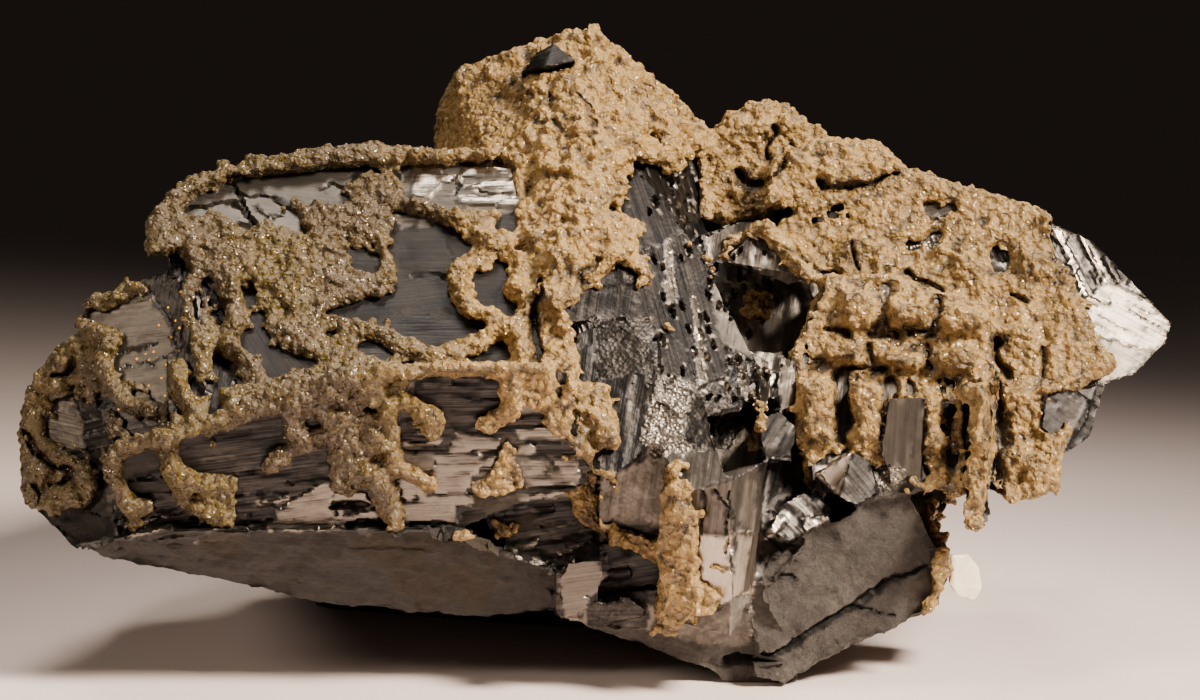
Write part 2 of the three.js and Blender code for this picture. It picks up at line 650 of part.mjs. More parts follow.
// Places where the metal shows through the crust.
const bareSpots = [
  [[112.5, 55], [114, 59.5], [117.5, 61.5], [118, 58], [116, 55]],
  [[123.4, 53.6], [124.2, 57.8], [126, 57], [126, 53.6]],
];

const crust = joined([
  ...films,
  ...ridges.map(([path, width]) => ridge(path, width)),
  ...sheathedBlocks.map((box) => sheathed(box, BLOCK)),
  ...sheathedKnobs.map((box) => sheathed(box, KNOB)),
])
  .subtract(bodyWithGap)
  .subtract(joined(bareSpots.map((outline) => slab(outline, IN_FRONT, BARE_DEPTH))))
  .subtract(below(CRUST_LOWEST));

// ---------------------------------------------------------------- calcite
const calcite = hull(
  prism(
    [
      [118.6, 18.3], [121.2, 18.5], [122.6, 16.4], [122.9, 14], [122, 12.1], [119.6, 12.8],
      [118.2, 15],
    ],
    { deep: -16, lean: 0.15, turn: 0.4, length: 9, taper: 0.7 },
  ),
).subtract(bodyWithGap).subtract(joined([crust]));

// ---------------------------------------------------------------- the part
const arsenopyrite = new THREE.MeshStandardMaterial({ color: 0x6e6a66, roughness: 0.35, metalness: 1 });
const siderite = new THREE.MeshStandardMaterial({ color: 0x9a7b50, roughness: 0.7, metalness: 0 });
const paleCalcite = new THREE.MeshStandardMaterial({ color: 0xefe2d0, roughness: 0.4, metalness: 0 });

const group = new THREE.Group();
group.name = "arsenopyrite_specimen";

function addNode(name, solid, material) {
  const mesh = new THREE.Mesh(geometryOf(solid), material);
  mesh.name = name;
  group.add(mesh);
}

addNode("arsenopyrite_crystals", body, arsenopyrite);
crust
  .decompose()
  .filter((piece) => piece.volume() > SMALLEST_TUFT)
  .sort((a, b) => b.volume() - a.volume())
  .forEach((piece, k) => addNode(k === 0 ? "siderite_crust" : `siderite_tuft_${k}`, piece, siderite));
addNode("calcite_crystal", calcite, paleCalcite);

// The origin is under the middle of the whole specimen, on the resting face.
const extent = new THREE.Box3().setFromObject(group);
const centre = extent.getCenter(new THREE.Vector3());
group.position.set(-centre.x, -centre.y, 0);

export default group;
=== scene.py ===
"""Dresses the frame of an arsenopyrite cluster: striated metal, a siderite crust and a calcite cleavage.

Sizes in the code are in millimetres on the real specimen unless a name says otherwise; Blender's own
units are metres. Many places are given on the display sheet, which the show side is laid out on. It
stands square to the view from the front, 10 degrees from above: `across` runs right and `up` runs up.
"""
import itertools
import math
from collections import namedtuple
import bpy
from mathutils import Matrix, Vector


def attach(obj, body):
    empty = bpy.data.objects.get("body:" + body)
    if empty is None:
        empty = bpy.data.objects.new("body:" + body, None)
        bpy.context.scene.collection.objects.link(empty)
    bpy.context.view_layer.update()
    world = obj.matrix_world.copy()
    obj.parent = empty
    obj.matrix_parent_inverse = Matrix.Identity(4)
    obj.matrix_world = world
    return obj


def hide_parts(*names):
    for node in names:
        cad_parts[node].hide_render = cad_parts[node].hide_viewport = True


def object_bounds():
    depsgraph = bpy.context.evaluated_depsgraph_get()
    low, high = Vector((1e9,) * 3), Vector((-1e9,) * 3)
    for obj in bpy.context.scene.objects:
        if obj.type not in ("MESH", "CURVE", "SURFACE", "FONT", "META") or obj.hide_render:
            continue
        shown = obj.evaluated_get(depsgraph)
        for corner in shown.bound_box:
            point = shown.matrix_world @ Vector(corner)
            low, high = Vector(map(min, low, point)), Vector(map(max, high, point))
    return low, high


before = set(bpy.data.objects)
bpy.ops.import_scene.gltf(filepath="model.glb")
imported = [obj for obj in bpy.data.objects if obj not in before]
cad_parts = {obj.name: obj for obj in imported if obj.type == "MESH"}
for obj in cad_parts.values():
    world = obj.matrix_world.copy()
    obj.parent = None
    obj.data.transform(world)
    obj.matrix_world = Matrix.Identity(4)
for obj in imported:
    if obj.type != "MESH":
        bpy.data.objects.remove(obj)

from types import SimpleNamespace

import bmesh
import bpy
import numpy as np
from mathutils import Vector
from mathutils.bvhtree import BVHTree

bl_info = {
    "name": "Arsenopyrite Specimen",
    "version": (1, 0, 0),
    "blender": (4, 5, 0),
    "location": "3D View > Sidebar > Specimen",
    "description": "Striated arsenopyrite with a siderite crust, dressed on its frame",
    "category": "Mesh",
}

MM = 0.001
CAD_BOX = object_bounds()
METAL_NODE = "arsenopyrite_crystals"
CRUST_NODES = sorted(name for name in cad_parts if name.startswith("siderite"))
CALCITE_NODE = "calcite_crystal"

# ---------------------------------------------------------------- the display sheet
VIEW_TILT = math.radians(10)
VIEW_DISTANCE = 700.0
LENS, SENSOR = 168.0, 36.0
SHEET_CENTRE = np.array([75.0, 43.75])
SHEET_MIDDLE = np.array([0.041, -3.891, 36.6])
FORWARD = np.array([0.0, math.cos(VIEW_TILT), -math.sin(VIEW_TILT)])
UPWARD = np.array([0.0, math.sin(VIEW_TILT), math.cos(VIEW_TILT)])
RIGHT = np.array([1.0, 0.0, 0.0])
VIEWER = SHEET_MIDDLE - FORWARD * VIEW_DISTANCE


def on_sheet(points):
    """Where points in millimetres show on the display sheet: across and up, in two columns."""
    offset = points - SHEET_MIDDLE
    shrink = VIEW_DISTANCE / (VIEW_DISTANCE + offset @ FORWARD)
    return np.stack([offset @ RIGHT * shrink, offset @ UPWARD * shrink], axis=1) + SHEET_CENTRE


def towards(place):
    """The way from the viewer to a place on the sheet."""
    across, up = np.array(place) - SHEET_CENTRE
    way = SHEET_MIDDLE + RIGHT * across + UPWARD * up - VIEWER
    return way / np.linalg.norm(way)


def spots_along(path, step):
    """Places about `step` apart along a path on the sheet."""
    spots = [np.array(path[0], float)]
    for start, end in zip(path[:-1], path[1:]):
        start, end = np.array(start, float), np.array(end, float)
        count = max(1, round(np.linalg.norm(end - start) / step))
        spots += [start + (end - start) * k / count for k in range(1, count + 1)]
    return spots


def spots_within(outline, spacing, random):
    """Scattered places inside an outline on the sheet, about `spacing` apart."""
    low, high = np.min(outline, axis=0), np.max(outline, axis=0)
    count = int(np.prod(high - low) / spacing**2)
    spots = low + (high - low) * random.random((count, 2))
    return list(spots[inside(spots, outline)])


def inside(places, outline):
    """Which places on the sheet lie inside an outline."""
    found = np.zeros(len(places), bool)
    x, y = places[:, 0], places[:, 1]
    for (x0, y0), (x1, y1) in zip(outline, outline[1:] + outline[:1]):
        if y0 != y1:
            found ^= ((y0 > y) != (y1 > y)) & (x < (x1 - x0) * (y - y0) / (y1 - y0) + x0)
    return found


def distance_to(places, path):
    """How far places on the sheet are from a line through the points of a path."""
    nearest = np.full(len(places), 1e9)
    for start, end in zip(path[:-1], path[1:]):
        a, way = np.array(start, float), np.array(end, float) - np.array(start, float)
        t = np.clip(((places - a) @ way) / (way @ way), 0, 1)
        nearest = np.minimum(nearest, np.linalg.norm(places - a - t[:, None] * way, axis=1))
    return nearest


# ---------------------------------------------------------------- noise
def shuffled(*keys):
    """A number from 0 to 1 for each set of whole numbers, the same at every run."""
    state = np.uint64(0x2545F4914F6CDD1D)
    with np.errstate(over="ignore"):
        for key in keys:
            word = np.asarray(key).astype(np.int64).astype(np.uint64)
            state = (state ^ word) * np.uint64(0x9E3779B97F4A7C15)
            state = state ^ (state >> np.uint64(29))
            state = state * np.uint64(0xBF58476D1CE4E5B9)
            state = state ^ (state >> np.uint64(32))
    return (state >> np.uint64(11)).astype(float) / 2.0**53


def cloud(points, size, seed=0):
    """Smooth noise from -1 to 1, with blobs about `size` across."""
    grid = points / size
    base = np.floor(grid)
    t = grid - base
    t = t * t * (3 - 2 * t)
    total = np.zeros(len(points))
    for corner in itertools.product((0, 1), repeat=points.shape[1]):
        weight = np.prod(np.where(corner, t, 1 - t), axis=1)
        total += weight * shuffled(*(base + corner).T, seed)
    return 2 * total - 1


def fractal(points, size, seed=0, octaves=3):
    """Noise from about -1 to 1 with finer and fainter detail at each octave."""
    return sum(0.55**k * cloud(points, size * 0.47**k, seed + k) for k in range(octaves))


def cells(points, size, seed=0):
    """Distance to the nearest seed of scattered cells about `size` across, and a number per cell."""
    grid = points / size
    base = np.floor(grid)
    nearest, owner = np.full(len(points), 9.0), np.zeros(len(points))
    for corner in itertools.product((-1, 0, 1), repeat=points.shape[1]):
        box = base + corner
        heart = np.stack([shuffled(*box.T, seed, 100 + k) for k in range(points.shape[1])], axis=1)
        gap = np.linalg.norm(box + heart - grid, axis=1)
        closer = gap < nearest
        nearest = np.where(closer, gap, nearest)
        owner = np.where(closer, shuffled(*box.T, seed, 7), owner)
    return nearest, owner


def ramp(value, low, high):
    """From 0 at `low` to 1 at `high`, smoothly."""
    t = np.clip((value - low) / (high - low), 0, 1)
    return t * t * (3 - 2 * t)


# ---------------------------------------------------------------- meshes
def read(mesh):
    """A mesh's vertices in millimetres and its vertex normals."""
    points = np.empty(len(mesh.vertices) * 3)
    mesh.vertices.foreach_get("co", points)
    normals = np.empty(len(mesh.vertices) * 3)
    mesh.vertex_normals.foreach_get("vector", normals)
    return points.reshape(-1, 3) / MM, normals.reshape(-1, 3)


def write(mesh, points):
    mesh.vertices.foreach_set("co", (points * MM).ravel())
    mesh.update()


def new_mesh(name, points, faces):
    mesh = bpy.data.meshes.new(name)
    mesh.vertices.add(len(points))
    mesh.loops.add(faces.size)
    mesh.polygons.add(len(faces))
    mesh.vertices.foreach_set("co", (points * MM).astype(np.float32).ravel())
    mesh.loops.foreach_set("vertex_index", faces.astype(np.int32).ravel())
    mesh.polygons.foreach_set("loop_start", np.arange(0, faces.size, faces.shape[1], dtype=np.int32))
    mesh.update(calc_edges=True)
    return mesh


def frame_mesh(names):
    """One welded mesh of some of the frame's nodes."""
    work = bmesh.new()
    for name in names:
        work.from_mesh(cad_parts[name].data)
    bmesh.ops.remove_doubles(work, verts=work.verts, dist=1e-7)
    mesh = bpy.data.meshes.new("work")
    work.to_mesh(mesh)
    work.free()
    return mesh


def with_modifier(mesh, kind, weights=None, **settings):
    """What one modifier makes of a mesh, which is used up. Weights go into a vertex group."""
    item = bpy.data.objects.new("work", mesh)
    bpy.context.scene.collection.objects.link(item)
    if weights is not None:
        group = item.vertex_groups.new(name="weight")
        steps = np.round(weights * 10).astype(int)
        for step in np.unique(steps):
            group.add(np.nonzero(steps == step)[0].tolist(), float(step) / 10, "REPLACE")
    modifier = item.modifiers.new("work", kind)
    for name, value in settings.items():
        setattr(modifier, name, value)
    graph = bpy.context.evaluated_depsgraph_get()
    made = bpy.data.meshes.new_from_object(item.evaluated_get(graph))
    bpy.data.objects.remove(item)
    bpy.data.meshes.remove(mesh)
    return made


def remeshed(mesh, voxel):
    return with_modifier(mesh, "REMESH", mode="VOXEL", voxel_size=voxel * MM)


def triangles(mesh):
    return sum(len(polygon.vertices) - 2 for polygon in mesh.polygons)


THINNING_CARE = 3e-5  # how much more the places that aren't spare count than a change of shape


def thinned(mesh, budget, spare):
    """The mesh with at most `budget` triangles, giving up most where `spare` is near 1."""
    total = triangles(mesh)
    if total <= budget:
        return mesh
    mesh = with_modifier(
        mesh, "DECIMATE", weights=spare, ratio=budget / total, vertex_group="weight",
        vertex_group_factor=THINNING_CARE, use_collapse_triangulate=True,
    )
    write(mesh, keep_in_box(read(mesh)[0]))
    return mesh


def cut(mesh, low, high):
    """The part of a closed mesh between two places along X, in millimetres, closed again."""
    work = bmesh.new()
    work.from_mesh(mesh)
    for place, way in ((low, -1), (high, 1)):
        if place is None:
            continue
        every = work.verts[:] + work.edges[:] + work.faces[:]
        made = bmesh.ops.bisect_plane(
            work, geom=every, plane_co=(place * MM, 0, 0), plane_no=(way, 0, 0), clear_outer=True,
        )
        rim = [item for item in made["geom_cut"] if isinstance(item, bmesh.types.BMEdge)]
        caps = bmesh.ops.holes_fill(work, edges=rim, sides=0)["faces"]
        bmesh.ops.triangulate(work, faces=caps)
    part = bpy.data.meshes.new(mesh.name)
    work.to_mesh(part)
    work.free()
    return part


def surface_of(mesh):
    return BVHTree.FromPolygons(
        [vertex.co / MM for vertex in mesh.vertices], [tuple(polygon.vertices) for polygon in mesh.polygons],
    )


def nearest_on(tree, points):
    """The nearest places on a surface, the way it faces there, and how far out of it points lie."""
    places, normals = np.empty_like(points), np.empty_like(points)
    for k, point in enumerate(points.tolist()):
        place, normal, _, _ = tree.find_nearest(point)
        places[k], normals[k] = place, normal
    return places, normals, np.einsum("ij,ij->i", points - places, normals)


def keep_in_box(points):
    """No vertex reaches outside the frame's own box or below the resting face."""
    low, high = (np.array(corner) / MM for corner in CAD_BOX)
    return np.clip(points, low, high)


def set_attribute(mesh, name, values):
    kind = "FLOAT" if values.ndim == 1 else "FLOAT_VECTOR"
    layer = mesh.attributes.new(name, kind, "POINT")
    layer.data.foreach_set("value" if values.ndim == 1 else "vector", values.astype(np.float32).ravel())


def place(mesh, name, replaced, slot, material, smooth):
    """Puts a finished mesh in the scene as a piece that stands for nodes of the frame."""
    mesh.name = name
    mesh.polygons.foreach_set("use_smooth", np.full(len(mesh.polygons), smooth))
    mesh.materials.clear()
    mesh.materials.append(material)
    piece = bpy.data.objects.new(name, mesh)
    bpy.context.scene.collection.objects.link(piece)
    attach(piece, "root")
    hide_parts(*replaced)


# ---------------------------------------------------------------- colours and nodes
def linear(code):
    """An sRGB hex colour as linear red, green and blue."""
    parts = [int(code[k : k + 2], 16) / 255 for k in (1, 3, 5)]
    return tuple(c / 12.92 if c <= 0.04045 else ((c + 0.055) / 1.055) ** 2.4 for c in parts)


def node(tree, kind, inputs=None, **settings):
    """Adds a shader node with its settings, values and links. A node as a value links its first output."""
    made = tree.nodes.new("ShaderNode" + kind)
    for name, value in settings.items():
        setattr(made, name, value)
    for name, value in (inputs or {}).items():
        socket = made.inputs[name]
        if isinstance(value, bpy.types.Node):
            value = next(output for output in value.outputs if output.enabled)
        if isinstance(value, bpy.types.NodeSocket):
            tree.links.new(value, socket)
        else:
            socket.default_value = (*value, 1.0) if socket.type == "RGBA" else value
    return made


def new_material(name):
    material = bpy.data.materials.new(name)
    material.use_nodes = True
    material.node_tree.nodes.clear()
    return material, material.node_tree


# ---------------------------------------------------------------- the crystals' faces
# How a face is finished: how clean the metal is, how much it is broken into fine grit, how much it is
# massive granular ore instead, how rough it is, how strongly it is streaked, and how bright its shining
# lamellae are painted. Cleanness lightens the metal's colour; it is partly real tarnish and fresh cleavage
# and partly painted reflection and painted shade, set face by face. The lamellae's brightness is a painted
# reflection.
Finish = namedtuple("Finish", "clean grit ore rough streak lit")
FINISHES = {
    "slate": Finish(0.04, 0.03, 0, 0.42, 0.12, 0.9),
    "pale slate": Finish(0.25, 0.03, 0, 0.36, 0.14, 0.9),
    "weathered": Finish(0.17, 0.05, 0, 0.38, 0.30, 0.9),
    "dark": Finish(0.04, 0.05, 0, 0.36, 0.30, 0.5),
    "plain": Finish(0.24, 0.05, 0, 0.40, 0.42, 0.95),
    "flank": Finish(0.03, 0.10, 0, 0.40, 0.22, 0.8),
    # the shining lamellae of the streaked and dim faces are painted dimmer, as painted shade
    "streaked": Finish(0.05, 0.05, 0, 0.32, 0.36, 0.42),
    "dim": Finish(0.05, 0.05, 0, 0.36, 0.30, 0.24),
    "beige": Finish(0.70, 0.0, 0, 0.26, 0.30, 0.9),
    "clean": Finish(0.46, 0.0, 0, 0.38, 0.75, 0.9),
    "sparkling": Finish(0.36, 1.0, 0, 0.34, 0.50, 0.9),
    "dull": Finish(0.05, 0.45, 0, 0.46, 0.30, 0.5),
    "ore": Finish(0.25, 0.12, 1, 0.55, 0.40, 0.6),
    "dark ore": Finish(0.04, 0.20, 0.85, 0.52, 0.25, 0.5),
    "pale ore": Finish(0.50, 0.25, 0.6, 0.50, 0.40, 0.9),
}
BRIGHT_ROUGHNESS = 0.22  # of the lamellae that shine

# A face of the show side: its finish, its outline on the sheet, which way its striations run in
# degrees from the horizontal, how wide a lamella is, how far it runs before it steps, and how deep
# the steps are. `bright` lists outlines inside which the lamellae shine: they are smoother, and their
# colour carries a painted reflection.
Face = namedtuple("Face", "finish outline grain width run depth bright", defaults=[()])
FACES = [
    # the tabular crystal's upper face
    Face(
        "slate", [(18, 32), (18, 66), (40, 69), (66, 69), (66, 58), (72, 41), (53, 40), (30, 34)],
        -4, 2.6, 30, 0.07,
    ),
    Face(
        "pale slate", [(22.5, 63.5), (24, 59), (31, 58.5), (40, 57), (44, 66), (42, 68), (30, 67)],
        -8, 3.5, 22, 0.06,
    ),
    Face(
        "plain", [(50, 60.8), (50, 68), (65, 68), (65, 61), (55, 60.8)], 2, 0.9, 6, 0.4,
        [
            [
                (51.3, 67.5), (51.5, 63.3), (54, 63), (55, 64.7), (58, 65), (57, 65.8), (55, 65.7),
                (55, 67.5),
            ],
            [(58, 64.2), (60, 64.9), (65, 65), (65, 63.9), (62, 63.6)],
            [(57.5, 63.2), (65, 63.2), (65, 61.8), (58, 62.3)],
            [(57.5, 66.6), (61, 67.6), (65, 66.7), (65, 65.6), (58, 65.6)],
        ],
    ),
    Face("slate", [(49.5, 60.5), (55, 60.8), (57, 54), (49.5, 54)], 0, 1.2, 5, 0.12),
    Face("plain", [(49.5, 60.8), (54.5, 60.8), (54, 59.2), (50, 59)], 0, 1.2, 5, 0.2),
    Face("slate", [(49.5, 54), (57.5, 54), (58, 48), (49, 48), (40, 46), (40, 52)], 6, 3, 18, 0.05),
    Face(
        "slate",
        [(40, 49.8), (49.5, 51.8), (50, 53), (56.5, 53), (56.8, 48.2), (50, 49), (46, 47.2), (41, 47.5)],
        6, 3, 18, 0.05,
    ),
    Face("dark", [(41, 47.5), (46, 47), (50, 48.5), (63, 48), (63, 42), (41, 42)], 0, 3, 20, 0.07),
    Face("slate", [(29, 52), (36, 52), (41, 40), (30, 40)], -60, 3, 20, 0.06),
    Face("dark", [(18, 57), (24, 57), (29, 44), (30, 36), (20, 35), (18, 44)], 80, 0.8, 5, 0.5),
    Face("streaked", [(52, 41), (64, 41), (64, 35), (60, 35), (52, 35)], 0, 0.8, 4, 0.4),
    # the steps at its left end
    Face("weathered", [(10, 51), (18.5, 51), (21.5, 47), (22.5, 36), (13, 33), (12, 44)], 7, 0.9, 9, 0.14),
    Face("dark", [(9, 38), (13.5, 38), (22, 36.3), (22, 32.5), (13, 29), (9, 30)], 12, 0.8, 4, 0.4),
    Face("plain", [(4, 38), (9, 38), (10.5, 34), (10.5, 29), (4, 31)], -14, 0.9, 5, 0.2),
    Face("slate", [(4, 31), (13, 31), (14, 22), (8, 17), (3, 21)], 30, 1.4, 5, 0.5),
    Face("dark ore", [(8, 24.5), (15, 22), (21, 16), (9, 16), (6, 20)], 20, 2, 6, 0.4),
    # its lower face, which shines only where the lamellae are whole
    Face("slate", [(14, 31), (21, 33), (21.5, 22), (15, 23)], 10, 1.3, 9, 0.22),
    Face(
        "streaked", [(21, 32), (30, 35.3), (37, 36.5), (42, 34), (42, 27), (36, 26), (21, 26)],
        7, 0.9, 9, 0.3,
    ),
    Face(
        "streaked", [(14, 25), (21, 26), (36, 27), (42, 27), (42, 21), (26, 18), (20, 16), (14, 19)],
        8, 0.7, 4, 0.55,
        [
            [
                (33, 20), (43.5, 20), (43.5, 23.5), (41, 24), (42, 25), (42, 28), (37.5, 25.5), (35, 24),
                (33.5, 22),
            ],
            [(32.5, 24.8), (36, 25.3), (36, 24.6), (32.5, 24.2)],
            [(20, 18.6), (24.5, 19.6), (24.5, 18.9), (20.5, 17.8)],
            [(15.5, 21.8), (21, 23.2), (21, 22.8), (16, 21.3)],
            [(16, 20.6), (21.5, 21.9), (21.5, 21.4), (16, 20.2)],
        ],
    ),
    Face(
        "streaked", [(42, 36), (50, 38), (50, 21), (42, 19.6)], 2, 0.9, 6, 0.45,
        [
            [(42, 20), (43.3, 20.2), (43.4, 23.7), (42, 23.9)],
            [(42, 24.6), (45.9, 24.6), (45.3, 26.2), (42, 26)],
            [(43.5, 22.2), (47, 22.4), (47.2, 23.8), (43.6, 23.3)],
            [(48.8, 22.6), (50, 22.4), (50, 28), (48.8, 28)],
        ],
    ),
    Face(
        "streaked", [(50, 38), (54, 36), (75, 36), (75, 26.5), (62, 24), (57, 21), (50, 21)],
        1, 0.85, 7, 0.45,
        [
            [
                (50, 28), (50, 22.3), (53, 22.2), (55, 21.4), (57.2, 22), (57.4, 24), (59.2, 24.6),
                (58.3, 27.5), (61, 29), (62.2, 30.8), (54, 30.6), (54, 28), (52, 26.4),
            ],
            [
                (64, 30.4), (68.3, 30.4), (68.3, 28.2), (69.4, 28.6), (70, 30.4), (72.6, 30.3),
                (72.4, 26.9), (69, 26.7), (65.5, 26.6),
            ],
            [(62.3, 24.6), (62.5, 25.4), (73.3, 26.6), (73.4, 25.8)],
            [(56, 31), (62.5, 31.3), (62.6, 32.6), (57, 33.8)],
            [(65, 32.8), (69.2, 32.9), (69.2, 34.1), (65, 34)],
            [(64.8, 31), (66.4, 31), (66.4, 32), (64.8, 32)],
            [(50, 31.8), (54.8, 32), (54.8, 32.5), (50, 32.3)],
            [(50, 33.3), (53.5, 33.6), (53.5, 33.1), (50, 32.9)],
        ],
    ),
    Face("plain", [(50, 28.5), (54, 28.4), (54, 31), (50, 31)], 1, 1.2, 7, 0.15),
    Face(
        "dark", [(57, 21), (57.5, 23.5), (63, 24.8), (74.5, 25.6), (74.5, 21.4), (64, 20)], 6, 0.8, 8, 0.5,
    ),
    # what runs under it
    Face(
        "dark ore",
        [(14, 20), (26, 19.5), (33, 21), (57, 21.4), (64, 20), (70, 16), (71, 9), (50, 9), (20, 12)],
        -3, 2.6, 14, 0.5,
    ),
    Face(
        "streaked", [(63, 21.5), (75, 22.5), (84, 21), (84, 16), (76, 17), (70, 16), (63, 18)],
        12, 0.7, 8, 0.5,
        [
            [(64, 18.8), (67, 19.4), (67, 20.2), (64, 19.6)],
            [(70, 18), (72.3, 18.6), (72.2, 19.4), (70, 18.8)],
        ],
    ),
    Face("dark", [(74.5, 21), (84, 20.5), (84, 12), (75, 12), (73, 13)], 10, 1.2, 6, 0.5),
    Face(
        "dim", [(69.3, 9.5), (69.3, 17.6), (76, 18), (76, 15.5), (73.5, 12), (73, 10.5)], 8, 0.8, 4, 0.25,
        [[(69.8, 15), (71, 17.2), (74.4, 17.4), (75.3, 16), (77, 15.3), (74, 13), (73, 10.8), (70.7, 9.6)]],
    ),
    Face("dull", [(73.3, 13), (81, 12.8), (81, 9), (73.3, 9)], 0, 1.2, 3, 0.4),
    # the tall crystal's bare flank, with its pits drawn out along the striations
    Face("dark", [(72, 66), (82, 70), (92, 70), (92, 56), (84, 56), (76, 60)], -72, 0.8, 6, 0.6),
    Face(
        "flank", [(78, 66), (80, 66), (83.5, 61.5), (85.5, 59), (86, 52), (84, 50), (78, 54)],
        -70, 1.6, 16, 0.15,
    ),
    Face(
        "flank", [(70, 55), (78, 56), (83, 57), (87, 60), (91, 56), (98, 43), (93, 35), (82, 40), (70, 37)],
        -74, 0.7, 8, 0.35,
        [
            [(82.7, 58), (83.9, 58), (84.3, 49.5), (83.2, 49.5)],
            [(86.5, 50), (87.2, 50), (88.3, 39), (87.2, 39)],
            [(74.9, 50.7), (75.6, 51.3), (75.5, 49.6), (74.9, 49.6)],
        ],
    ),
    Face("flank", [(72, 52), (80, 52), (80.5, 41), (78, 37), (72, 38)], 82, 1.1, 12, 0.3),
    Face("dull", [(74, 48), (82, 48), (83, 41), (80, 38.5), (75, 39)], 50, 1.4, 3, 0.5),
    Face("flank", [(75.5, 40), (81, 41), (81, 30), (75.5, 28)], 80, 1.0, 8, 0.4),
    Face(
        "sparkling",
        [
            (82.4, 40.4), (84, 40.9), (87.6, 38.9), (86.3, 36), (85, 33), (87, 31.2), (90.3, 27.5),
            (91.8, 24.8), (88, 25.6), (85.8, 25.8), (84.4, 29.5), (82, 30.2), (80, 32.5), (80.8, 36),
        ],
        60, 1.6, 4, 0.3,
    ),
    Face("dull", [(86, 38.8), (92, 41), (94, 36), (90, 29.5), (87.3, 31.5), (85.3, 33)], 60, 1.4, 3, 0.6),
    # the bare lens near the peak
    Face("dark", [(64, 77), (64, 83.5), (73, 83.5), (73, 77)], 20, 1.2, 6, 0.1),
    # the upright blades beside it
    Face(
        "streaked", [(91, 45), (100, 45), (100.3, 35), (94, 35), (91, 40)], 80, 0.6, 5, 0.6,
        [
            [(92, 44), (93.3, 44.5), (93.8, 38), (92.6, 38)],
            [(94.6, 42.5), (96.8, 41.5), (96.2, 36.5), (94.8, 37)],
            [(90.6, 43.5), (91.2, 43.5), (91.3, 41), (90.8, 41)],
        ],
    ),
    Face("plain", [(97, 44), (100.2, 44), (100.2, 36), (97.6, 36)], 82, 1.2, 8, 0.2),
    # the stout prism at the front
    Face("plain", [(83, 31), (97, 32), (95.6, 20), (86, 19)], 82, 1.0, 14, 0.35),
    Face(
        "plain", [(86, 20.5), (95.8, 21), (94, 7), (84, 7), (82, 14)], 83, 0.9, 9, 0.3,
        [
            [(86, 20.5), (95.6, 24), (94, 11), (94.5, 7), (84, 7), (83, 14)],
            [(93, 30), (94.3, 30), (93.5, 20), (92, 20)],
        ],
    ),
    Face(
        "dark", [(94.5, 36), (100, 36), (101, 29), (99, 22), (94.6, 13), (95.5, 24), (94.6, 30)],
        75, 1.4, 7, 0.4,
    ),
    Face("dark", [(95, 35.5), (97.6, 36.6), (99.6, 34.6), (99.3, 30.5), (95, 30.8)], 60, 2, 6, 0.15),
    # the hollow and its walls
    Face(
        "plain", [(88, 58), (92, 60), (97, 59), (104, 55), (104, 43), (97, 41), (90, 45)], 80, 1.6, 6, 0.5,
    ),
    Face(
        "slate", [(99.3, 44), (101, 48), (103.5, 53.5), (104.5, 50), (103, 44), (100, 41)],
        80, 2.2, 9, 0.15,
    ),
    # painted highlights: two small spots in the hollow painted as clean metal
    Face("clean", [(99.2, 55.3), (100.7, 55), (101, 53.4), (99.6, 53.7)], 0, 2, 4, 0.1),
    Face("clean", [(102, 54), (104.3, 53.4), (103.6, 51.7), (102.6, 52.4)], 0, 2, 4, 0.1),
    # bare places in the right crystal's crust
    Face("sparkling", [(112, 62), (119, 62), (119, 54), (112, 54)], 30, 1.6, 4, 0.4),
    Face("plain", [(115, 63.3), (120, 63.3), (120, 60.4), (115, 60.4)], 0, 2.4, 6, 0.2),
    Face(
        "streaked", [(123, 59), (127, 59), (127, 53), (123, 53)], -60, 0.8, 6, 0.3,
        [[(123, 53), (127, 53), (126, 54.6), (123, 54.8)]],
    ),
    # its broken tip
    Face(
        "streaked", [(130, 62), (137, 59.5), (141, 54), (139, 50), (136, 46), (131, 50)], -60, 0.75, 9, 0.5,
        [
            [(133.3, 56), (134, 56), (136.3, 50), (135.4, 50)],
            [(135, 58), (135.7, 58), (139.2, 51.6), (138.4, 51.6)],
            [(132, 58.5), (132.7, 59), (134.6, 54), (133.8, 54)],
        ],
    ),
    Face(
        "clean", [(135, 49.5), (138.6, 52.3), (148, 48), (148, 43), (142, 38), (135, 38)],
        -28, 0.8, 15, 0.45,
    ),
    Face("plain", [(137.5, 45.5), (142, 44), (145.5, 43.5), (143, 40), (138, 39)], -30, 2.2, 6, 0.25),
    Face(
        "slate", [(128, 40), (134, 39.8), (139, 39.5), (138.5, 32), (130, 30), (126, 34)], -38, 0.9, 8, 0.3,
    ),
    # between and under the coated prisms
    # painted shade: the metal behind the gaps between the prisms is given the dark finish
    Face("dark", [(103, 47), (125, 47), (125, 23), (100, 26)], 84, 2, 10, 0.3),
    Face("plain", [(109.8, 40), (115.4, 40), (115.2, 27), (110, 27)], 86, 1.2, 12, 0.12),
    Face("sparkling", [(109, 29.8), (112.6, 29.2), (113.6, 26), (110.3, 26)], 86, 1.6, 4, 0.3),
    Face("beige", [(102, 28.6), (106.7, 31.6), (104.8, 25)], 55, 2.4, 6, 0.1),
    Face("dark", [(106.7, 31.6), (109.4, 30.4), (110.2, 25.8), (107, 23.4), (104.8, 25)], -50, 1.8, 9, 0.1),
    Face(
        "streaked", [(95, 20), (97, 25), (100.5, 27), (105, 25), (104, 22), (98, 17)], -45, 1.3, 3, 0.45,
        [
            [(95.4, 20), (97.4, 21), (98.8, 23), (96.6, 23)],
            [(100, 22.5), (104, 23.6), (104, 22.2), (101, 21)],
        ],
    ),
    # the massive foot
    Face(
        "ore",
        [
            (94, 13), (96, 16.5), (105, 23.5), (110, 25.6), (114, 28), (120, 22), (120, 8), (112, 4),
            (98, 0), (94, 0),
        ],
        35, 3.5, 9, 0.35,
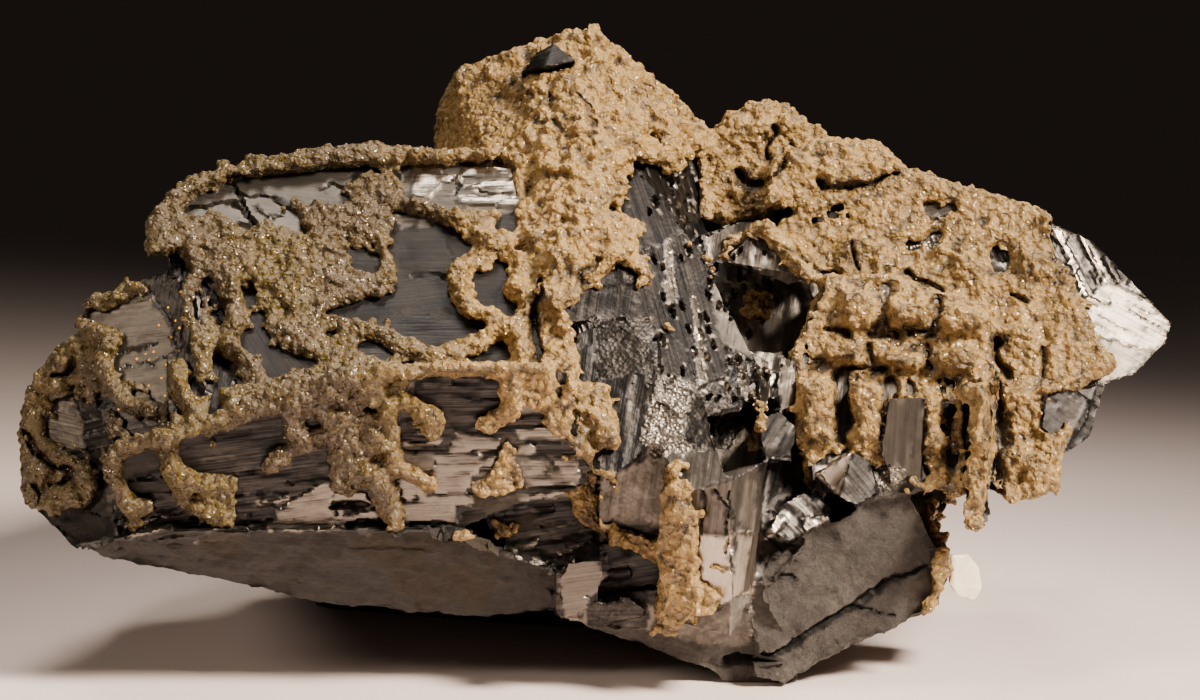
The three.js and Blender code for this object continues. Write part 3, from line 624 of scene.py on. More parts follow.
    ),
    Face("ore", [(70, 9.6), (84, 8.5), (94.5, 7), (95, 0), (80, 0), (66, 8)], -15, 2.6, 9, 0.3),
    Face("pale ore", [(84, 9.4), (93.6, 13.5), (94, 7), (90, 6.4), (84, 8)], 30, 1.6, 5, 0.3),
    Face(
        "ore", [(96, 17), (105, 23.5), (106, 22.4), (98, 15.6)], 35, 1.2, 5, 0.3,
        [[(97, 17.6), (99.5, 19), (99.5, 17.8), (97.6, 17)]],
    ),
]

# Tan films on the foot, and where fine gold-coloured crystals sit.
STAINS = [
    [(43.5, 20.6), (61, 20.8), (62.2, 17), (61, 12), (50.3, 10.5), (50.5, 13.5), (46.5, 17.5), (42.5, 19)],
    [(24.5, 20.5), (31, 20.5), (29, 17.5), (25, 17.7)],
    [(114, 14.5), (118.5, 19), (119.5, 13), (117, 10), (113, 10)],
    [(58.5, 24), (59, 27.4), (62, 29), (63, 33), (65.5, 33), (66.2, 27), (65, 24.6), (61, 23.4)],
    [(68.3, 30), (69.6, 30.2), (69.6, 28), (68.3, 28.2)],
    [(62, 22), (67, 23.6), (67, 22.2), (63, 21.2)],
]
GOLD = [
    [
        (18, 57), (23.5, 56), (24, 45), (22.5, 36), (24, 33), (13, 30), (9, 30), (5, 33), (5, 37), (12, 38),
        (17, 45),
    ],
    [(22.5, 62.6), (25.5, 62.4), (25, 60.8), (22.8, 61)],
]

# Open cracks on the sheet: the path, how wide and how deep.
CRACKS = [
    ([(90.8, 4.4), (95, 5), (98, 6), (101, 8), (105, 10.6), (108.5, 12.6), (111, 15)], 0.45, 1.6),
    ([(90.8, 4.4), (94, 4.9)], 0.7, 1.8),
    ([(95.5, 15.2), (98, 15.6), (99.5, 15)], 0.25, 0.6),
    ([(105, 10.5), (107, 11.6), (112, 10.4)], 0.2, 0.5),
    ([(111, 15), (113, 15.6), (115.5, 16.8)], 0.3, 0.8),
    ([(22.6, 61.8), (25.5, 61.6), (27, 62.3), (29.4, 62.2), (30.4, 61), (31.8, 59.6)], 0.3, 0.9),
    ([(28.4, 64.8), (29.5, 63.8), (31, 63.1), (33.6, 63), (36.6, 61.4)], 0.22, 0.6),
    ([(29.3, 64), (30.5, 62.4), (31.2, 61), (32.2, 59.2)], 0.26, 0.8),
    ([(28.3, 59.6), (30, 59.2), (32.4, 59.3), (32.4, 58)], 0.26, 0.7),
    ([(40, 64.2), (42, 64.5), (44.4, 64.3)], 0.22, 0.5),
    ([(32, 61.7), (33.5, 60.3), (36, 60.6)], 0.12, 0.3),
    ([(51.5, 53.3), (53, 53), (56, 53.2)], 0.3, 0.35),
    ([(33, 48.5), (34, 46), (36, 43)], 0.12, 0.25),
    ([(15.2, 26.4), (20.4, 28)], 0.22, 0.4),
    ([(11.4, 43), (20, 44.6)], 0.12, 0.25),
    ([(15, 41.5), (21, 42.8)], 0.12, 0.2),
    ([(41.3, 24.1), (43.4, 24.3), (46, 24.2)], 0.3, 0.8),
    ([(43.3, 21.9), (45, 22.2), (47.5, 22), (49.5, 21.6)], 0.3, 0.7),
    ([(50, 21.9), (53.5, 22.1), (57, 21.6)], 0.3, 0.6),
    ([(49.8, 24.9), (52.4, 25)], 0.22, 0.5),
    ([(89.3, 26), (91, 24), (90.5, 18)], 0.2, 0.5),
    ([(91.2, 26), (92.2, 22), (91.4, 16)], 0.25, 0.6),
    ([(88, 27), (87.3, 21), (86.9, 15)], 0.2, 0.4),
    ([(57, 63.2), (57.2, 64.5), (56.5, 65.5)], 0.2, 0.5),
]
PIT_OUTLINE = [(78, 67), (92, 70), (99, 43), (93, 35), (84, 40), (80, 50)]

# Ways that the striations run on faces that the table doesn't name, from left to right, and where
# along X the middle ones begin and end.
GRAINS = np.array([(1, 0.05, 0.08), (0.12, 0.1, 1), (0.85, 0, -0.5)])
MIDDLE_START, MIDDLE_END = -8.0, 22.0
USUAL_WIDTH, USUAL_RUN, USUAL_DEPTH = 1.3, 11.0, 0.35  # of the lamellae on those faces
UNNAMED = 200  # a number past the table's faces, which unnamed faces are counted from
BROKEN_BASE = (13, 7)  # the heights where the far side starts to turn into ore, and is all ore
FACES_THE_VIEWER = 0.15  # how near a face may come to looking away before it is a side face
EDGE_WANDER = 0.3  # how far a finish's edges stray on the sheet

# The lamellae's steps, in shares of a lamella's own depth.
BRIGHT_STEP, BRIGHT_FINE_STEP = 0.22, 0.12
STEP_SINK, STEP, FINE_STEP, STEP_TILT = 0.25, 0.55, 0.3, 0.35

# How wide and how deep the grit, the granular foot, the slow swells and the pits are. A pit reaches
# over a share of its cell, and the chances are the shares of cells with a pit and with a lip that
# carries a painted highlight.
GRIT_SIZE, GRIT_DEPTH, GRIT_STEP = 0.9, 0.22, 0.12
ORE_SINK, ORE_SIZE, ORE_DEPTH = 0.6, 7, 0.75
SWELL_SIZE, SWELL_DEPTH = 5, 0.12
PIT_LENGTH, PIT_WIDTH, PIT_DEPTH, PIT_REACH = 2.4, 0.8, 0.8, 0.42
PIT_CHANCE, LIP_CHANCE, PAINTED_LIP_SHINE = 0.34, 0.18, 0.85


def whole(value):
    return np.floor(value).astype(np.int64)


def on_show(flat_normals):
    """Which points lie on faces that the viewer sees."""
    return flat_normals @ FORWARD < FACES_THE_VIEWER


def unnamed_faces(points, flat_normals, shown):
    """How the metal is before the table is read: each flat face has its own cleanness."""
    count = len(points)
    region = np.where(points[:, 0] < MIDDLE_START, 0, np.where(points[:, 0] > MIDDLE_END, 2, 1))
    way = (GRAINS / np.linalg.norm(GRAINS, axis=1, keepdims=True))[region]
    side = np.cross(flat_normals, way)
    side /= np.maximum(np.linalg.norm(side, axis=1, keepdims=True), 1e-6)
    own = shuffled(*np.round(flat_normals * 4).T, region)
    ore = ramp(points[:, 2] - 2.5 * cloud(points, 9, 5), *BROKEN_BASE) * ~shown
    rough = 0.28 + 0.14 * own
    return SimpleNamespace(
        along=np.einsum("ij,ij->i", points, way), across=np.einsum("ij,ij->i", points, side),
        which=region + UNNAMED, bright=np.zeros(count, bool), width=np.full(count, USUAL_WIDTH),
        run=np.full(count, USUAL_RUN), depth=np.full(count, USUAL_DEPTH), clean=0.08 + 0.3 * own**2,
        grit=np.maximum(0.12, 0.5 * ore), ore=ore, rough=rough + ore * (0.55 - rough),
        streak=np.full(count, 0.4), lit=np.full(count, 0.9),
    )


def shining(face, number, spots, along, across):
    """Which spots on a face lie on lamellae that shine, whose colour carries a painted reflection.

    A lamella shines or not as a whole, so the edge of a bright patch is as ragged as a broken cleavage.
    """
    run = 0.35 * face.run
    band = whole((across + 0.25 * cloud(spots, 7, 11)) / face.width)
    shift = face.run * shuffled(band, number)
    middle = (whole((along + shift) / run) + 0.5) * run - shift
    centre = turned(np.stack([middle, (band + 0.5) * face.width], axis=1), face.grain)
    probe = 0.45 * centre + 0.55 * spots
    return np.any([inside(probe, outline) for outline in face.bright], axis=0)


def turned(places, degrees):
    """Places on the sheet turned about its corner, anticlockwise."""
    c, s = math.cos(math.radians(degrees)), math.sin(math.radians(degrees))
    return np.stack([places @ (c, -s), places @ (s, c)], axis=1)


def name_faces(metal, sheet, wander, shown):
    """Lays the table's faces over the unnamed ones."""
    for number, face in enumerate(FACES):
        here = np.nonzero(shown & inside(sheet + wander, face.outline))[0]
        if not len(here):
            continue
        finish = FINISHES[face.finish]
        for name in finish._fields:
            getattr(metal, name)[here] = getattr(finish, name)
        for name in ("width", "run", "depth"):
            getattr(metal, name)[here] = getattr(face, name)
        spots = sheet[here]
        along, across = turned(spots, -face.grain).T
        metal.along[here], metal.across[here], metal.which[here] = along, across, number
        metal.bright[here] = shining(face, number, spots, along, across) if face.bright else False


def bricks(metal, across, width, least, spread, *seed):
    """The lamella that each point lies on: its band across the striations, and its place along it."""
    band = whole(across / width)
    shift = shuffled(band, metal.which, *seed)
    return band, whole((metal.along + shift * metal.run) / (metal.run * (least + spread * shift)))


def lay_lamellae(metal, points):
    """Steps and shine of the lamellae, which are bricks of two sizes in slightly wavy bands.

    The shine lightens their colour: cleanness, and on shining lamellae a painted reflection.
    """
    across = metal.across + 0.22 * cloud(points, 7, 11) * np.minimum(metal.width, 1.5)
    band, brick = bricks(metal, across, metal.width, 0.55, 0.7)
    tall = shuffled(band, brick, metal.which)
    fine = shuffled(*bricks(metal, across, metal.width * 0.42, 0.3, 0.4, 5), metal.which, 9)
    tilt = (shuffled(band, brick, metal.which, 17) - 0.5) * (across / metal.width - band - 0.5)
    bright_steps = BRIGHT_STEP * tall + BRIGHT_FINE_STEP * fine
    steps = np.where(metal.bright, bright_steps, STEP_SINK + STEP * tall + FINE_STEP * fine)
    metal.relief = metal.depth * (STEP_TILT * tilt * (1 - metal.ore) - steps)
    dull = metal.clean * (0.75 + 0.5 * fine) + 0.2 * metal.streak * (fine > 0.95)
    # painted reflection: shining lamellae get a light colour, by their face's setting
    metal.shine = np.where(metal.bright, metal.lit * (0.85 + 0.15 * tall), dull)
    metal.rough = np.where(metal.bright, BRIGHT_ROUGHNESS, metal.rough)


def break_up(metal, points):
    """Fine broken grit, the granular foot, and slow swells of the faces."""
    near, mark = cells(points, GRIT_SIZE, 21)
    metal.relief -= metal.grit * (GRIT_DEPTH * near + GRIT_STEP * mark)
    lumps = ORE_SINK + ORE_DEPTH * fractal(points, ORE_SIZE, 31, 4)
    metal.relief -= metal.ore * (lumps + 0.3 * cloud(points, 1.5, 37) + 0.16 * cloud(points, 0.75, 38))
    metal.relief -= SWELL_DEPTH * (1 + fractal(points, SWELL_SIZE, 41, 2)) * (1 - metal.ore)


def sink_pits(metal, sheet, shown):
    """Pits drawn out along the striations, some with a painted highlight on their lips."""
    pitted = shown & inside(sheet, PIT_OUTLINE)
    spots = np.stack([metal.along[pitted] / PIT_LENGTH, metal.across[pitted] / PIT_WIDTH], axis=1)
    near, mark = cells(spots, 1.0, 51)
    reach = np.where(mark > 1 - PIT_CHANCE, PIT_REACH * mark, 1e-6)
    metal.relief[pitted] -= PIT_DEPTH * ramp(-near, -reach, -reach * 0.55)
    painted_lip_highlight = ramp(near, reach * 0.95, reach * 1.05) * ramp(-near, -reach * 1.35, -reach * 1.1)
    painted_lip_highlight *= PAINTED_LIP_SHINE * (mark > 1 - LIP_CHANCE)
    metal.shine[pitted] = np.maximum(metal.shine[pitted], painted_lip_highlight)


def open_cracks(metal, places, seen):
    """Cracks in the faces that are seen, with painted shade inside."""
    metal.dark = np.zeros(len(metal.relief))
    for path, wide, deep in CRACKS:
        mouth = 1 - ramp(distance_to(places, path), wide * 0.35, wide)
        metal.relief[seen] -= deep * mouth
        metal.dark[seen] = np.maximum(metal.dark[seen], mouth)
    metal.shine *= 1 - 0.85 * metal.dark


def marked(outlines, places, seen, count):
    """1 for places inside any of some outlines on the sheet, and 0 for all others."""
    mark = np.zeros(count)
    mark[seen] = np.any([inside(places, outline) for outline in outlines], axis=0)
    return mark


def crystal_pattern(points, flat_normals):
    """The relief of the metal at each point, and the attributes that its material reads."""
    sheet = on_sheet(points)
    wander = EDGE_WANDER * np.stack([cloud(points, 1.1, 3), cloud(points, 1.1, 4)], axis=1)
    shown = on_show(flat_normals)
    seen = np.nonzero(shown)[0]
    spots, stray = sheet[seen], wander[seen]

    metal = unnamed_faces(points, flat_normals, shown)
    name_faces(metal, sheet, wander, shown)
    lay_lamellae(metal, points)
    break_up(metal, points)
    sink_pits(metal, sheet, shown)
    open_cracks(metal, spots + 1.6 * stray, seen)
    looks = {
        # the metal's lightness: cleanness, with painted reflections, painted highlights on pit lips and
        # painted shade in cracks
        "clean": np.clip(metal.shine, 0, 1), "rough": np.clip(metal.rough, 0.1, 1), "grit": metal.grit,
        # the dark mark is painted shade inside the cracks
        "ore": metal.ore, "streak": metal.streak, "dark": metal.dark,
        "stain": marked(STAINS, spots + 1.5 * stray, seen, len(points)),
        "gold": marked(GOLD, spots + 3 * stray, seen, len(points)),
        "lie": np.stack([metal.along, metal.across, metal.which * 3.7], axis=1),
    }
    return metal.relief, looks


FLOOR_CLEARANCE = (0.05, 0.6)  # heights over the resting face between which the relief fades in
CRISP = math.radians(38)  # edges sharper than this show as edges
UNDER_CRUST = 0.6  # how near the crust hides the metal
METAL_HALVES = (("crystals_left", None, 0.0), ("crystals_right", 0.0, None))


def build_crystals(settings):
    frame_metal = frame_mesh([METAL_NODE])
    tree = surface_of(frame_metal)
    mesh = remeshed(frame_metal, settings.fineness / MM)
    points, normals = read(mesh)
    places, flat, _ = nearest_on(tree, points)
    relief, _ = crystal_pattern(points, flat)
    relief *= settings.relief * ramp(points[:, 2], *FLOOR_CLEARANCE)
    write(mesh, keep_in_box(places + normals * relief[:, None]))

    # give up triangles where the crust hides the metal, and some on the far side
    crust = surface_of(frame_mesh(CRUST_NODES))
    hidden = [crust.find_nearest(point, UNDER_CRUST)[0] is not None for point in points.tolist()]
    mesh = thinned(mesh, settings.budget, np.where(hidden, 1.0, np.where(on_show(flat), 0.2, 0.6)))

    points, _ = read(mesh)
    _, flat, _ = nearest_on(tree, points)
    _, looks = crystal_pattern(points, flat)
    for name, values in looks.items():
        set_attribute(mesh, name, values)
    material = metal_material(settings)
    for name, low, high in METAL_HALVES:
        part = cut(mesh, low, high)
        place(part, name, [METAL_NODE], "arsenopyrite", material, smooth=True)
        part.set_sharp_from_angle(angle=CRISP)


STRIATION_SCALE = (0.12, 4.0, 1.0)  # drawn out along the crystal, and a line each 0.25 mm across it
FILM_PER_METRE = 260.0  # blobs about 4 mm across
GRIT_PER_METRE = 1900.0  # grains about 0.5 mm across
MOTTLE_PER_METRE = 1300.0  # blobs about 0.8 mm across
STAIN_COVER = 0.85
GOLD_SHARE, GOLD_REACH = 0.07, 0.32  # the share of grains that are gold, and how much of a grain is
PAINTED_GLINT_SHARE = 0.28  # of the grit's grains that get a painted glint
DULLEST = 0.72  # roughness of the dullest ore


def metal_material(settings):
    """Arsenopyrite: silver-white metal, bright on fresh cleavages and in painted reflections, tarnished
    slate where it is old and in painted shade.
    """
    material, tree = new_material("Arsenopyrite, grown and cleaved")
    where = node(tree, "TexCoord").outputs["Object"]
    lie = node(tree, "Attribute", attribute_name="lie").outputs["Vector"]
    clean, rough, grit, ore, streak, stain, gold, dark = (
        node(tree, "Attribute", attribute_name=name).outputs["Fac"]
        for name in ("clean", "rough", "grit", "ore", "streak", "stain", "gold", "dark")
    )

    # striations, as fine as shows, and a film of tarnish that comes and goes
    lie = node(tree, "Mapping", {"Vector": lie, "Scale": STRIATION_SCALE})
    streaks = node(tree, "TexNoise", {"Vector": lie, "Scale": 1.0, "Detail": 4.0, "Roughness": 0.65})
    film = {"Vector": where, "Scale": FILM_PER_METRE, "Detail": 5.0, "Roughness": 0.6}
    film = node(tree, "TexNoise", film)
    tarnish = {"Factor": film, "A": settings.tarnish, "B": settings.tarnish_brown}
    tarnish = node(tree, "Mix", tarnish, data_type="RGBA")
    amount = node(tree, "Math", {0: streaks, 1: 0.5}, operation="SUBTRACT")
    # cleanness sets how light the metal is, and also carries painted reflections, highlights and shade
    amount = node(tree, "Math", {0: amount, 1: streak, 2: clean}, operation="MULTIPLY_ADD", use_clamp=True)
    base = node(tree, "Mix", {"Factor": amount, "A": tarnish, "B": settings.metal}, data_type="RGBA")

    # granular ore, grey-brown and mottled, which the metal shows through in blotches
    mottle = {"Vector": where, "Scale": MOTTLE_PER_METRE, "Detail": 6.0, "Roughness": 0.75}
    mottle = node(tree, "TexNoise", mottle)
    mottle = node(tree, "MapRange", {"Value": mottle, "From Min": 0.3, "From Max": 0.72})
    broken = {"Factor": mottle, "A": settings.ore_shade, "B": settings.ore}
    broken = node(tree, "Mix", broken, data_type="RGBA")
    blotches = {"Value": film, "From Min": 0.3, "From Max": 0.66, "To Min": 0.7, "To Max": 1.0}
    blotches = node(tree, "MapRange", blotches)
    ore = node(tree, "Math", {0: ore, 1: settings.ore_cover}, operation="MULTIPLY")
    ore = node(tree, "Math", {0: ore, 1: blotches}, operation="MULTIPLY")
    base = node(tree, "Mix", {"Factor": ore, "A": base, "B": broken}, data_type="RGBA")

    # tan siderite film in patches
    patches = node(tree, "MapRange", {"Value": film, "From Min": 0.38, "From Max": 0.52})
    stain = node(tree, "Math", {0: stain, 1: patches}, operation="MULTIPLY")
    stain = node(tree, "Math", {0: stain, 1: STAIN_COVER}, operation="MULTIPLY")
    base = node(tree, "Mix", {"Factor": stain, "A": base, "B": settings.stain}, data_type="RGBA")

    # fine tarnish-coloured crystals, and a painted glint: some grains of the grit painted as clean metal
    grains = node(tree, "TexVoronoi", {"Vector": where, "Scale": GRIT_PER_METRE})
    pick = node(tree, "SeparateColor", {"Color": grains.outputs["Color"]})
    golden = node(tree, "Math", {0: pick.outputs["Red"], 1: 1 - GOLD_SHARE}, operation="GREATER_THAN")
    gold = node(tree, "Math", {0: golden, 1: gold}, operation="MULTIPLY")
    core = node(tree, "Math", {0: grains, 1: GOLD_REACH}, operation="LESS_THAN")
    gold = node(tree, "Math", {0: gold, 1: core}, operation="MULTIPLY")
    base = node(tree, "Mix", {"Factor": gold, "A": base, "B": settings.gold}, data_type="RGBA")
    painted_glint = node(tree, "Math", {0: pick.outputs["Green"], 1: 1 - PAINTED_GLINT_SHARE}, operation="GREATER_THAN")
    painted_glint = node(tree, "Math", {0: painted_glint, 1: grit}, operation="MULTIPLY")
    painted_glint = node(tree, "Math", {0: painted_glint, 1: clean}, operation="MULTIPLY")
    base = node(tree, "Mix", {"Factor": painted_glint, "A": base, "B": settings.metal}, data_type="RGBA")
    # painted shade inside open cracks
    base = node(tree, "Mix", {"Factor": dark, "A": base, "B": settings.painted_crack_shade}, data_type="RGBA")

    dull = node(tree, "Math", {0: ore, 1: stain}, operation="MAXIMUM")
    dull = node(tree, "Math", {0: dull, 1: dark}, operation="MAXIMUM")
    rough = node(tree, "Math", {0: streaks, 1: 0.12, 2: rough}, operation="MULTIPLY_ADD")
    rough = node(tree, "Math", {0: rough, 1: dull}, operation="MAXIMUM")
    rough = node(tree, "Math", {0: rough, 1: DULLEST}, operation="MINIMUM")
    metallic = node(tree, "Math", {0: 1.0, 1: dull}, operation="SUBTRACT")

    gritty = node(tree, "Math", {0: grains, 1: grit}, operation="MULTIPLY")
    lumpy = node(tree, "Math", {0: mottle, 1: ore}, operation="MULTIPLY")
    bumps = node(tree, "Bump", {"Height": streaks, "Strength": 0.35, "Distance": 0.12 * MM})
    bumps = {"Height": gritty, "Strength": 0.9, "Distance": 0.3 * MM, "Normal": bumps}
    bumps = node(tree, "Bump", bumps)
    bumps = {"Height": lumpy, "Strength": 0.8, "Distance": 0.45 * MM, "Normal": bumps}
    bumps = node(tree, "Bump", bumps)
    shader = {"Base Color": base, "Metallic": metallic, "Roughness": rough, "Normal": bumps}
    node(tree, "OutputMaterial", {"Surface": node(tree, "BsdfPrincipled", shader)})
    return material


# ---------------------------------------------------------------- the crust
# How coarse the crust is on parts of the show side: an outline, and the least and greatest radius
# of its globules.
COARSENESS = [
    ([(53, 60), (53, 80), (60, 82), (66, 84), (67, 66), (64, 60)], 0.3, 0.5),
    ([(66, 60), (66, 84), (72, 86), (90, 76), (92, 66), (78, 54), (68, 52)], 0.5, 1.15),
    ([(88, 60), (88, 78), (116, 72), (116, 64), (100, 61)], 0.4, 0.85),
    ([(96, 60), (116, 67), (134, 62), (142, 42), (136, 24), (98, 24), (100, 52)], 0.32, 0.6),
]
USUAL_COARSENESS = (0.34, 0.68)

# Strands of crust on the show side: how wide each is, and its path on the sheet.
STRANDS = [
    # the left end and its steps
    (1.7, [(3.8, 39), (4.5, 36), (3.6, 33.8), (4.2, 31.5), (4, 29), (4.6, 26.5), (4.8, 24)]),
    (
        1.9,
        [
            (4.5, 32.2), (6, 31), (8, 29.6), (10.3, 29.2), (11.2, 27.5), (11, 25.8), (9, 25), (7, 23.8),
            (5.3, 24.5),
        ],
    ),
    (1.5, [(5.6, 28.4), (6.3, 26.8), (8, 25.9), (9.5, 27), (9.2, 28.3), (7.8, 27.8)]),
    (2.2, [(5.5, 40), (7.5, 39), (9, 41), (11, 40), (10.5, 42.5), (9.3, 44), (11, 44.5)]),
    (2.0, [(13.3, 44.5), (12.8, 42), (13.5, 40), (14.3, 38), (16.2, 36.8), (18.5, 36.6), (20.5, 35.2)]),
    (1.5, [(14, 39.4), (17.3, 39.4)]),
    (1.7, [(13.7, 36), (14.8, 33.8), (16.2, 31.8)]),
    (1.8, [(13.2, 30.6), (13.8, 28), (14.8, 26.4), (16, 24.3), (18.5, 24.3)]),
    (1.4, [(16, 24.3), (16.8, 23), (17.5, 22)]),
    (1.6, [(10, 46.7), (12, 46.2), (14, 45.3), (13, 43.8)]),
    (1.9, [(10, 49), (12, 49.6), (14, 50), (15.2, 51.5)]),
    (2.2, [(16, 54), (16.3, 51.8), (18, 51.2)]),
    (1.8, [(17, 54), (18.3, 53.2)]),
    # on the lower face
    (2.3, [(20.8, 32.5), (20.8, 30), (21.8, 28.5), (24, 27), (26, 26.6), (28.7, 27.3)]),
    (1.7, [(25.5, 27.6), (28.6, 25.9)]),
    (1.9, [(26, 25), (29, 24.6), (28.5, 23.3), (26.3, 23.8)]),
    (1.5, [(26.2, 34.3), (26.6, 32)]),
    (1.8, [(36.5, 37), (36.2, 35), (37, 33), (38, 31.6), (39, 31.5)]),
    (1.7, [(37, 37), (39.5, 37), (41, 35.5)]),
    (2.0, [(38, 33.2), (41, 33), (43, 34.5)]),
    (2.4, [(48.7, 36.5), (50.5, 37.5), (52.5, 36.8), (54.3, 35.2), (54, 33.6)]),
    (1.7, [(48.3, 36.5), (49.3, 33), (49, 30), (50.3, 28.2), (52.5, 28.2), (53.5, 26.3)]),
    (1.7, [(46.5, 28), (47.5, 24.7), (49, 22.5)]),
    (2.1, [(64.5, 37), (62, 35.6), (60.5, 34.5), (60.3, 33.5)]),
    (1.8, [(57.3, 20.6), (60, 21.4), (61.6, 21.9), (62.3, 21), (64.2, 21.4)]),
    (2.0, [(33.4, 29), (35, 30.6)]),
    # along its front edge
    (1.6, [(29.3, 38), (29.2, 36.4), (30.8, 35.2)]),
    (1.8, [(29.5, 38.3), (33, 38.7), (36, 39.6)]),
    (1.5, [(22, 42), (22.1, 40), (23.2, 38.3), (24.8, 37), (26, 38), (25.5, 36.2), (24, 36.2)]),
    (1.6, [(20.8, 35), (22, 34.6), (24, 34.6), (28, 35.3)]),
    # worms on the upper face
    (1.8, [(23.5, 52), (23.7, 49), (24.5, 47), (25, 45.3), (26.3, 44.6)]),
    (1.6, [(24.2, 46), (24.6, 43), (25.5, 41), (26.7, 40)]),
    (2.4, [(29, 52.5), (28.3, 50), (29.5, 47.5), (28.3, 44.8), (30, 42.8), (31.8, 41), (33, 40)]),
    (1.4, [(40.8, 43.2), (42, 41.4), (44, 41.8), (44.6, 43.9), (43, 45.2), (41, 44.5)]),
    (
        1.8,
        [(43.3, 44.9), (46, 45.8), (48.2, 45.8), (49, 44.4), (51, 43.4), (54, 43), (57, 43.4), (60, 43.8)],
    ),
    (2.0, [(60, 43.8), (61.5, 45), (63.3, 46.5), (62.5, 48), (60, 48.5)]),
    (
        2.0,
        [
            (59.2, 48.8), (57.8, 50), (57.3, 52), (56.5, 53.5), (58, 54.5), (59.5, 54), (61, 55.5),
            (61.5, 57.5), (60, 58.3), (58.3, 57.4),
        ],
    ),
    (
        1.9,
        [
            (62.5, 57), (63.5, 55), (65, 53), (63.8, 51.5), (66, 51), (66, 49), (65, 47.5), (64, 46.3),
            (65.3, 44.5), (65.5, 42.5),
        ],
    ),
    (1.2, [(48.5, 59), (48, 56), (49.3, 53.5), (48.9, 51.8)]),
    (2.2, [(37, 61.5), (41, 61.2), (44, 60.6), (47.5, 61)]),
    (2.3, [(43.5, 63.8), (45.5, 64.8), (47.5, 64.2), (48.7, 62.5)]),
    (2.4, [(33, 50), (34.8, 47.5), (37, 45), (40, 43)]),
    (2.2, [(35, 51), (37, 49.6), (40.5, 49.4)]),
    (1.8, [(24.5, 60), (26.5, 60.3), (28.5, 59), (28.7, 57.8)]),
    (1.7, [(22.5, 64), (21.9, 61.5), (22.7, 59.5), (24, 57.5), (24.5, 54.8)]),
    (2.0, [(26, 57.5), (27, 56), (29, 55.5), (31, 57)]),
    # over the rim
    (
        2.4,
        [
            (20, 59.5), (19.6, 62.3), (21, 64.3), (24, 65.7), (27, 66.4), (31, 67.4), (35, 67.2),
            (38, 68.2), (43, 68.7), (46.5, 68.8),
        ],
    ),
    (2.8, [(47, 68.6), (48.6, 66.3), (49.5, 63.8)]),
    (2.0, [(49.5, 68.4), (52, 68.3), (55.5, 67.8), (58, 68.2), (63, 68.4)]),
    (1.6, [(20, 60), (20.4, 58.4), (21.2, 57.2)]),
    # between the tabular crystal and the tall one
    (3.0, [(68.2, 51), (69.4, 49), (70.3, 47.3)]),
    (1.9, [(71.5, 45.2), (71.1, 42), (71.6, 38.8)]),
    (2.4, [(68.6, 34.8), (70.5, 37.4), (73, 37.8), (75.3, 37.2)]),
    (2.4, [(74.8, 34.3), (76.2, 32.7)]),
    (1.6, [(76.2, 60.6), (79, 60), (80.3, 59)]),
    (1.7, [(80.6, 55.6), (81, 53.6), (79.7, 51.4)]),
    (1.0, [(83.3, 46.9), (84.4, 45.7)]),
    (1.1, [(85.6, 57.4), (86.1, 57)]),
    (1.3, [(88.2, 55.2), (89.4, 53.1)]),
    # round the hollow
    (2.3, [(90.5, 55.2), (92, 57.2), (95.5, 59.6), (98, 57.5), (99.8, 54.8), (101, 52.8)]),
    (1.8, [(89.5, 68.5), (90, 65.6), (91.8, 63.6), (93.2, 61.6)]),
    # below the bright facets and down the front prism
    (1.7, [(73.7, 30), (74.2, 28.5), (76, 28), (77, 26.7)]),
    (1.8, [(84.6, 30), (84, 26), (85.8, 22), (84.8, 17), (83.5, 12), (82, 8.8)]),
    (1.9, [(87.8, 14.2), (89.2, 12.5), (87.4, 11.3), (86, 12.6)]),
    (1.1, [(88.8, 16.8), (90.4, 16.3)]),
    (2.6, [(95.2, 36.2), (95.4, 34), (94.2, 32)]),
    # the right crystal's lower edge, and the root's right edge
    (1.6, [(131, 38.6), (135, 40.4), (139.3, 42.4)]),
    (2.3, [(101.5, 25.8), (101, 29), (102.5, 33)]),
    (2.4, [(105.5, 32.6), (107.5, 31.8), (108.5, 31.4)]),
    (1.8, [(113.8, 27.4), (116.5, 26.6), (119.3, 26.5)]),
    (3.4, [(122.2, 38.6), (121.9, 34), (122.2, 29), (122, 24), (122, 22)]),
    (2.2, [(118.8, 25.5), (117.8, 22.5), (118, 20), (117.8, 17.5), (118.8, 15.5)]),
    (1.5, [(118.9, 13.3), (118, 11), (116, 10.2)]),
]

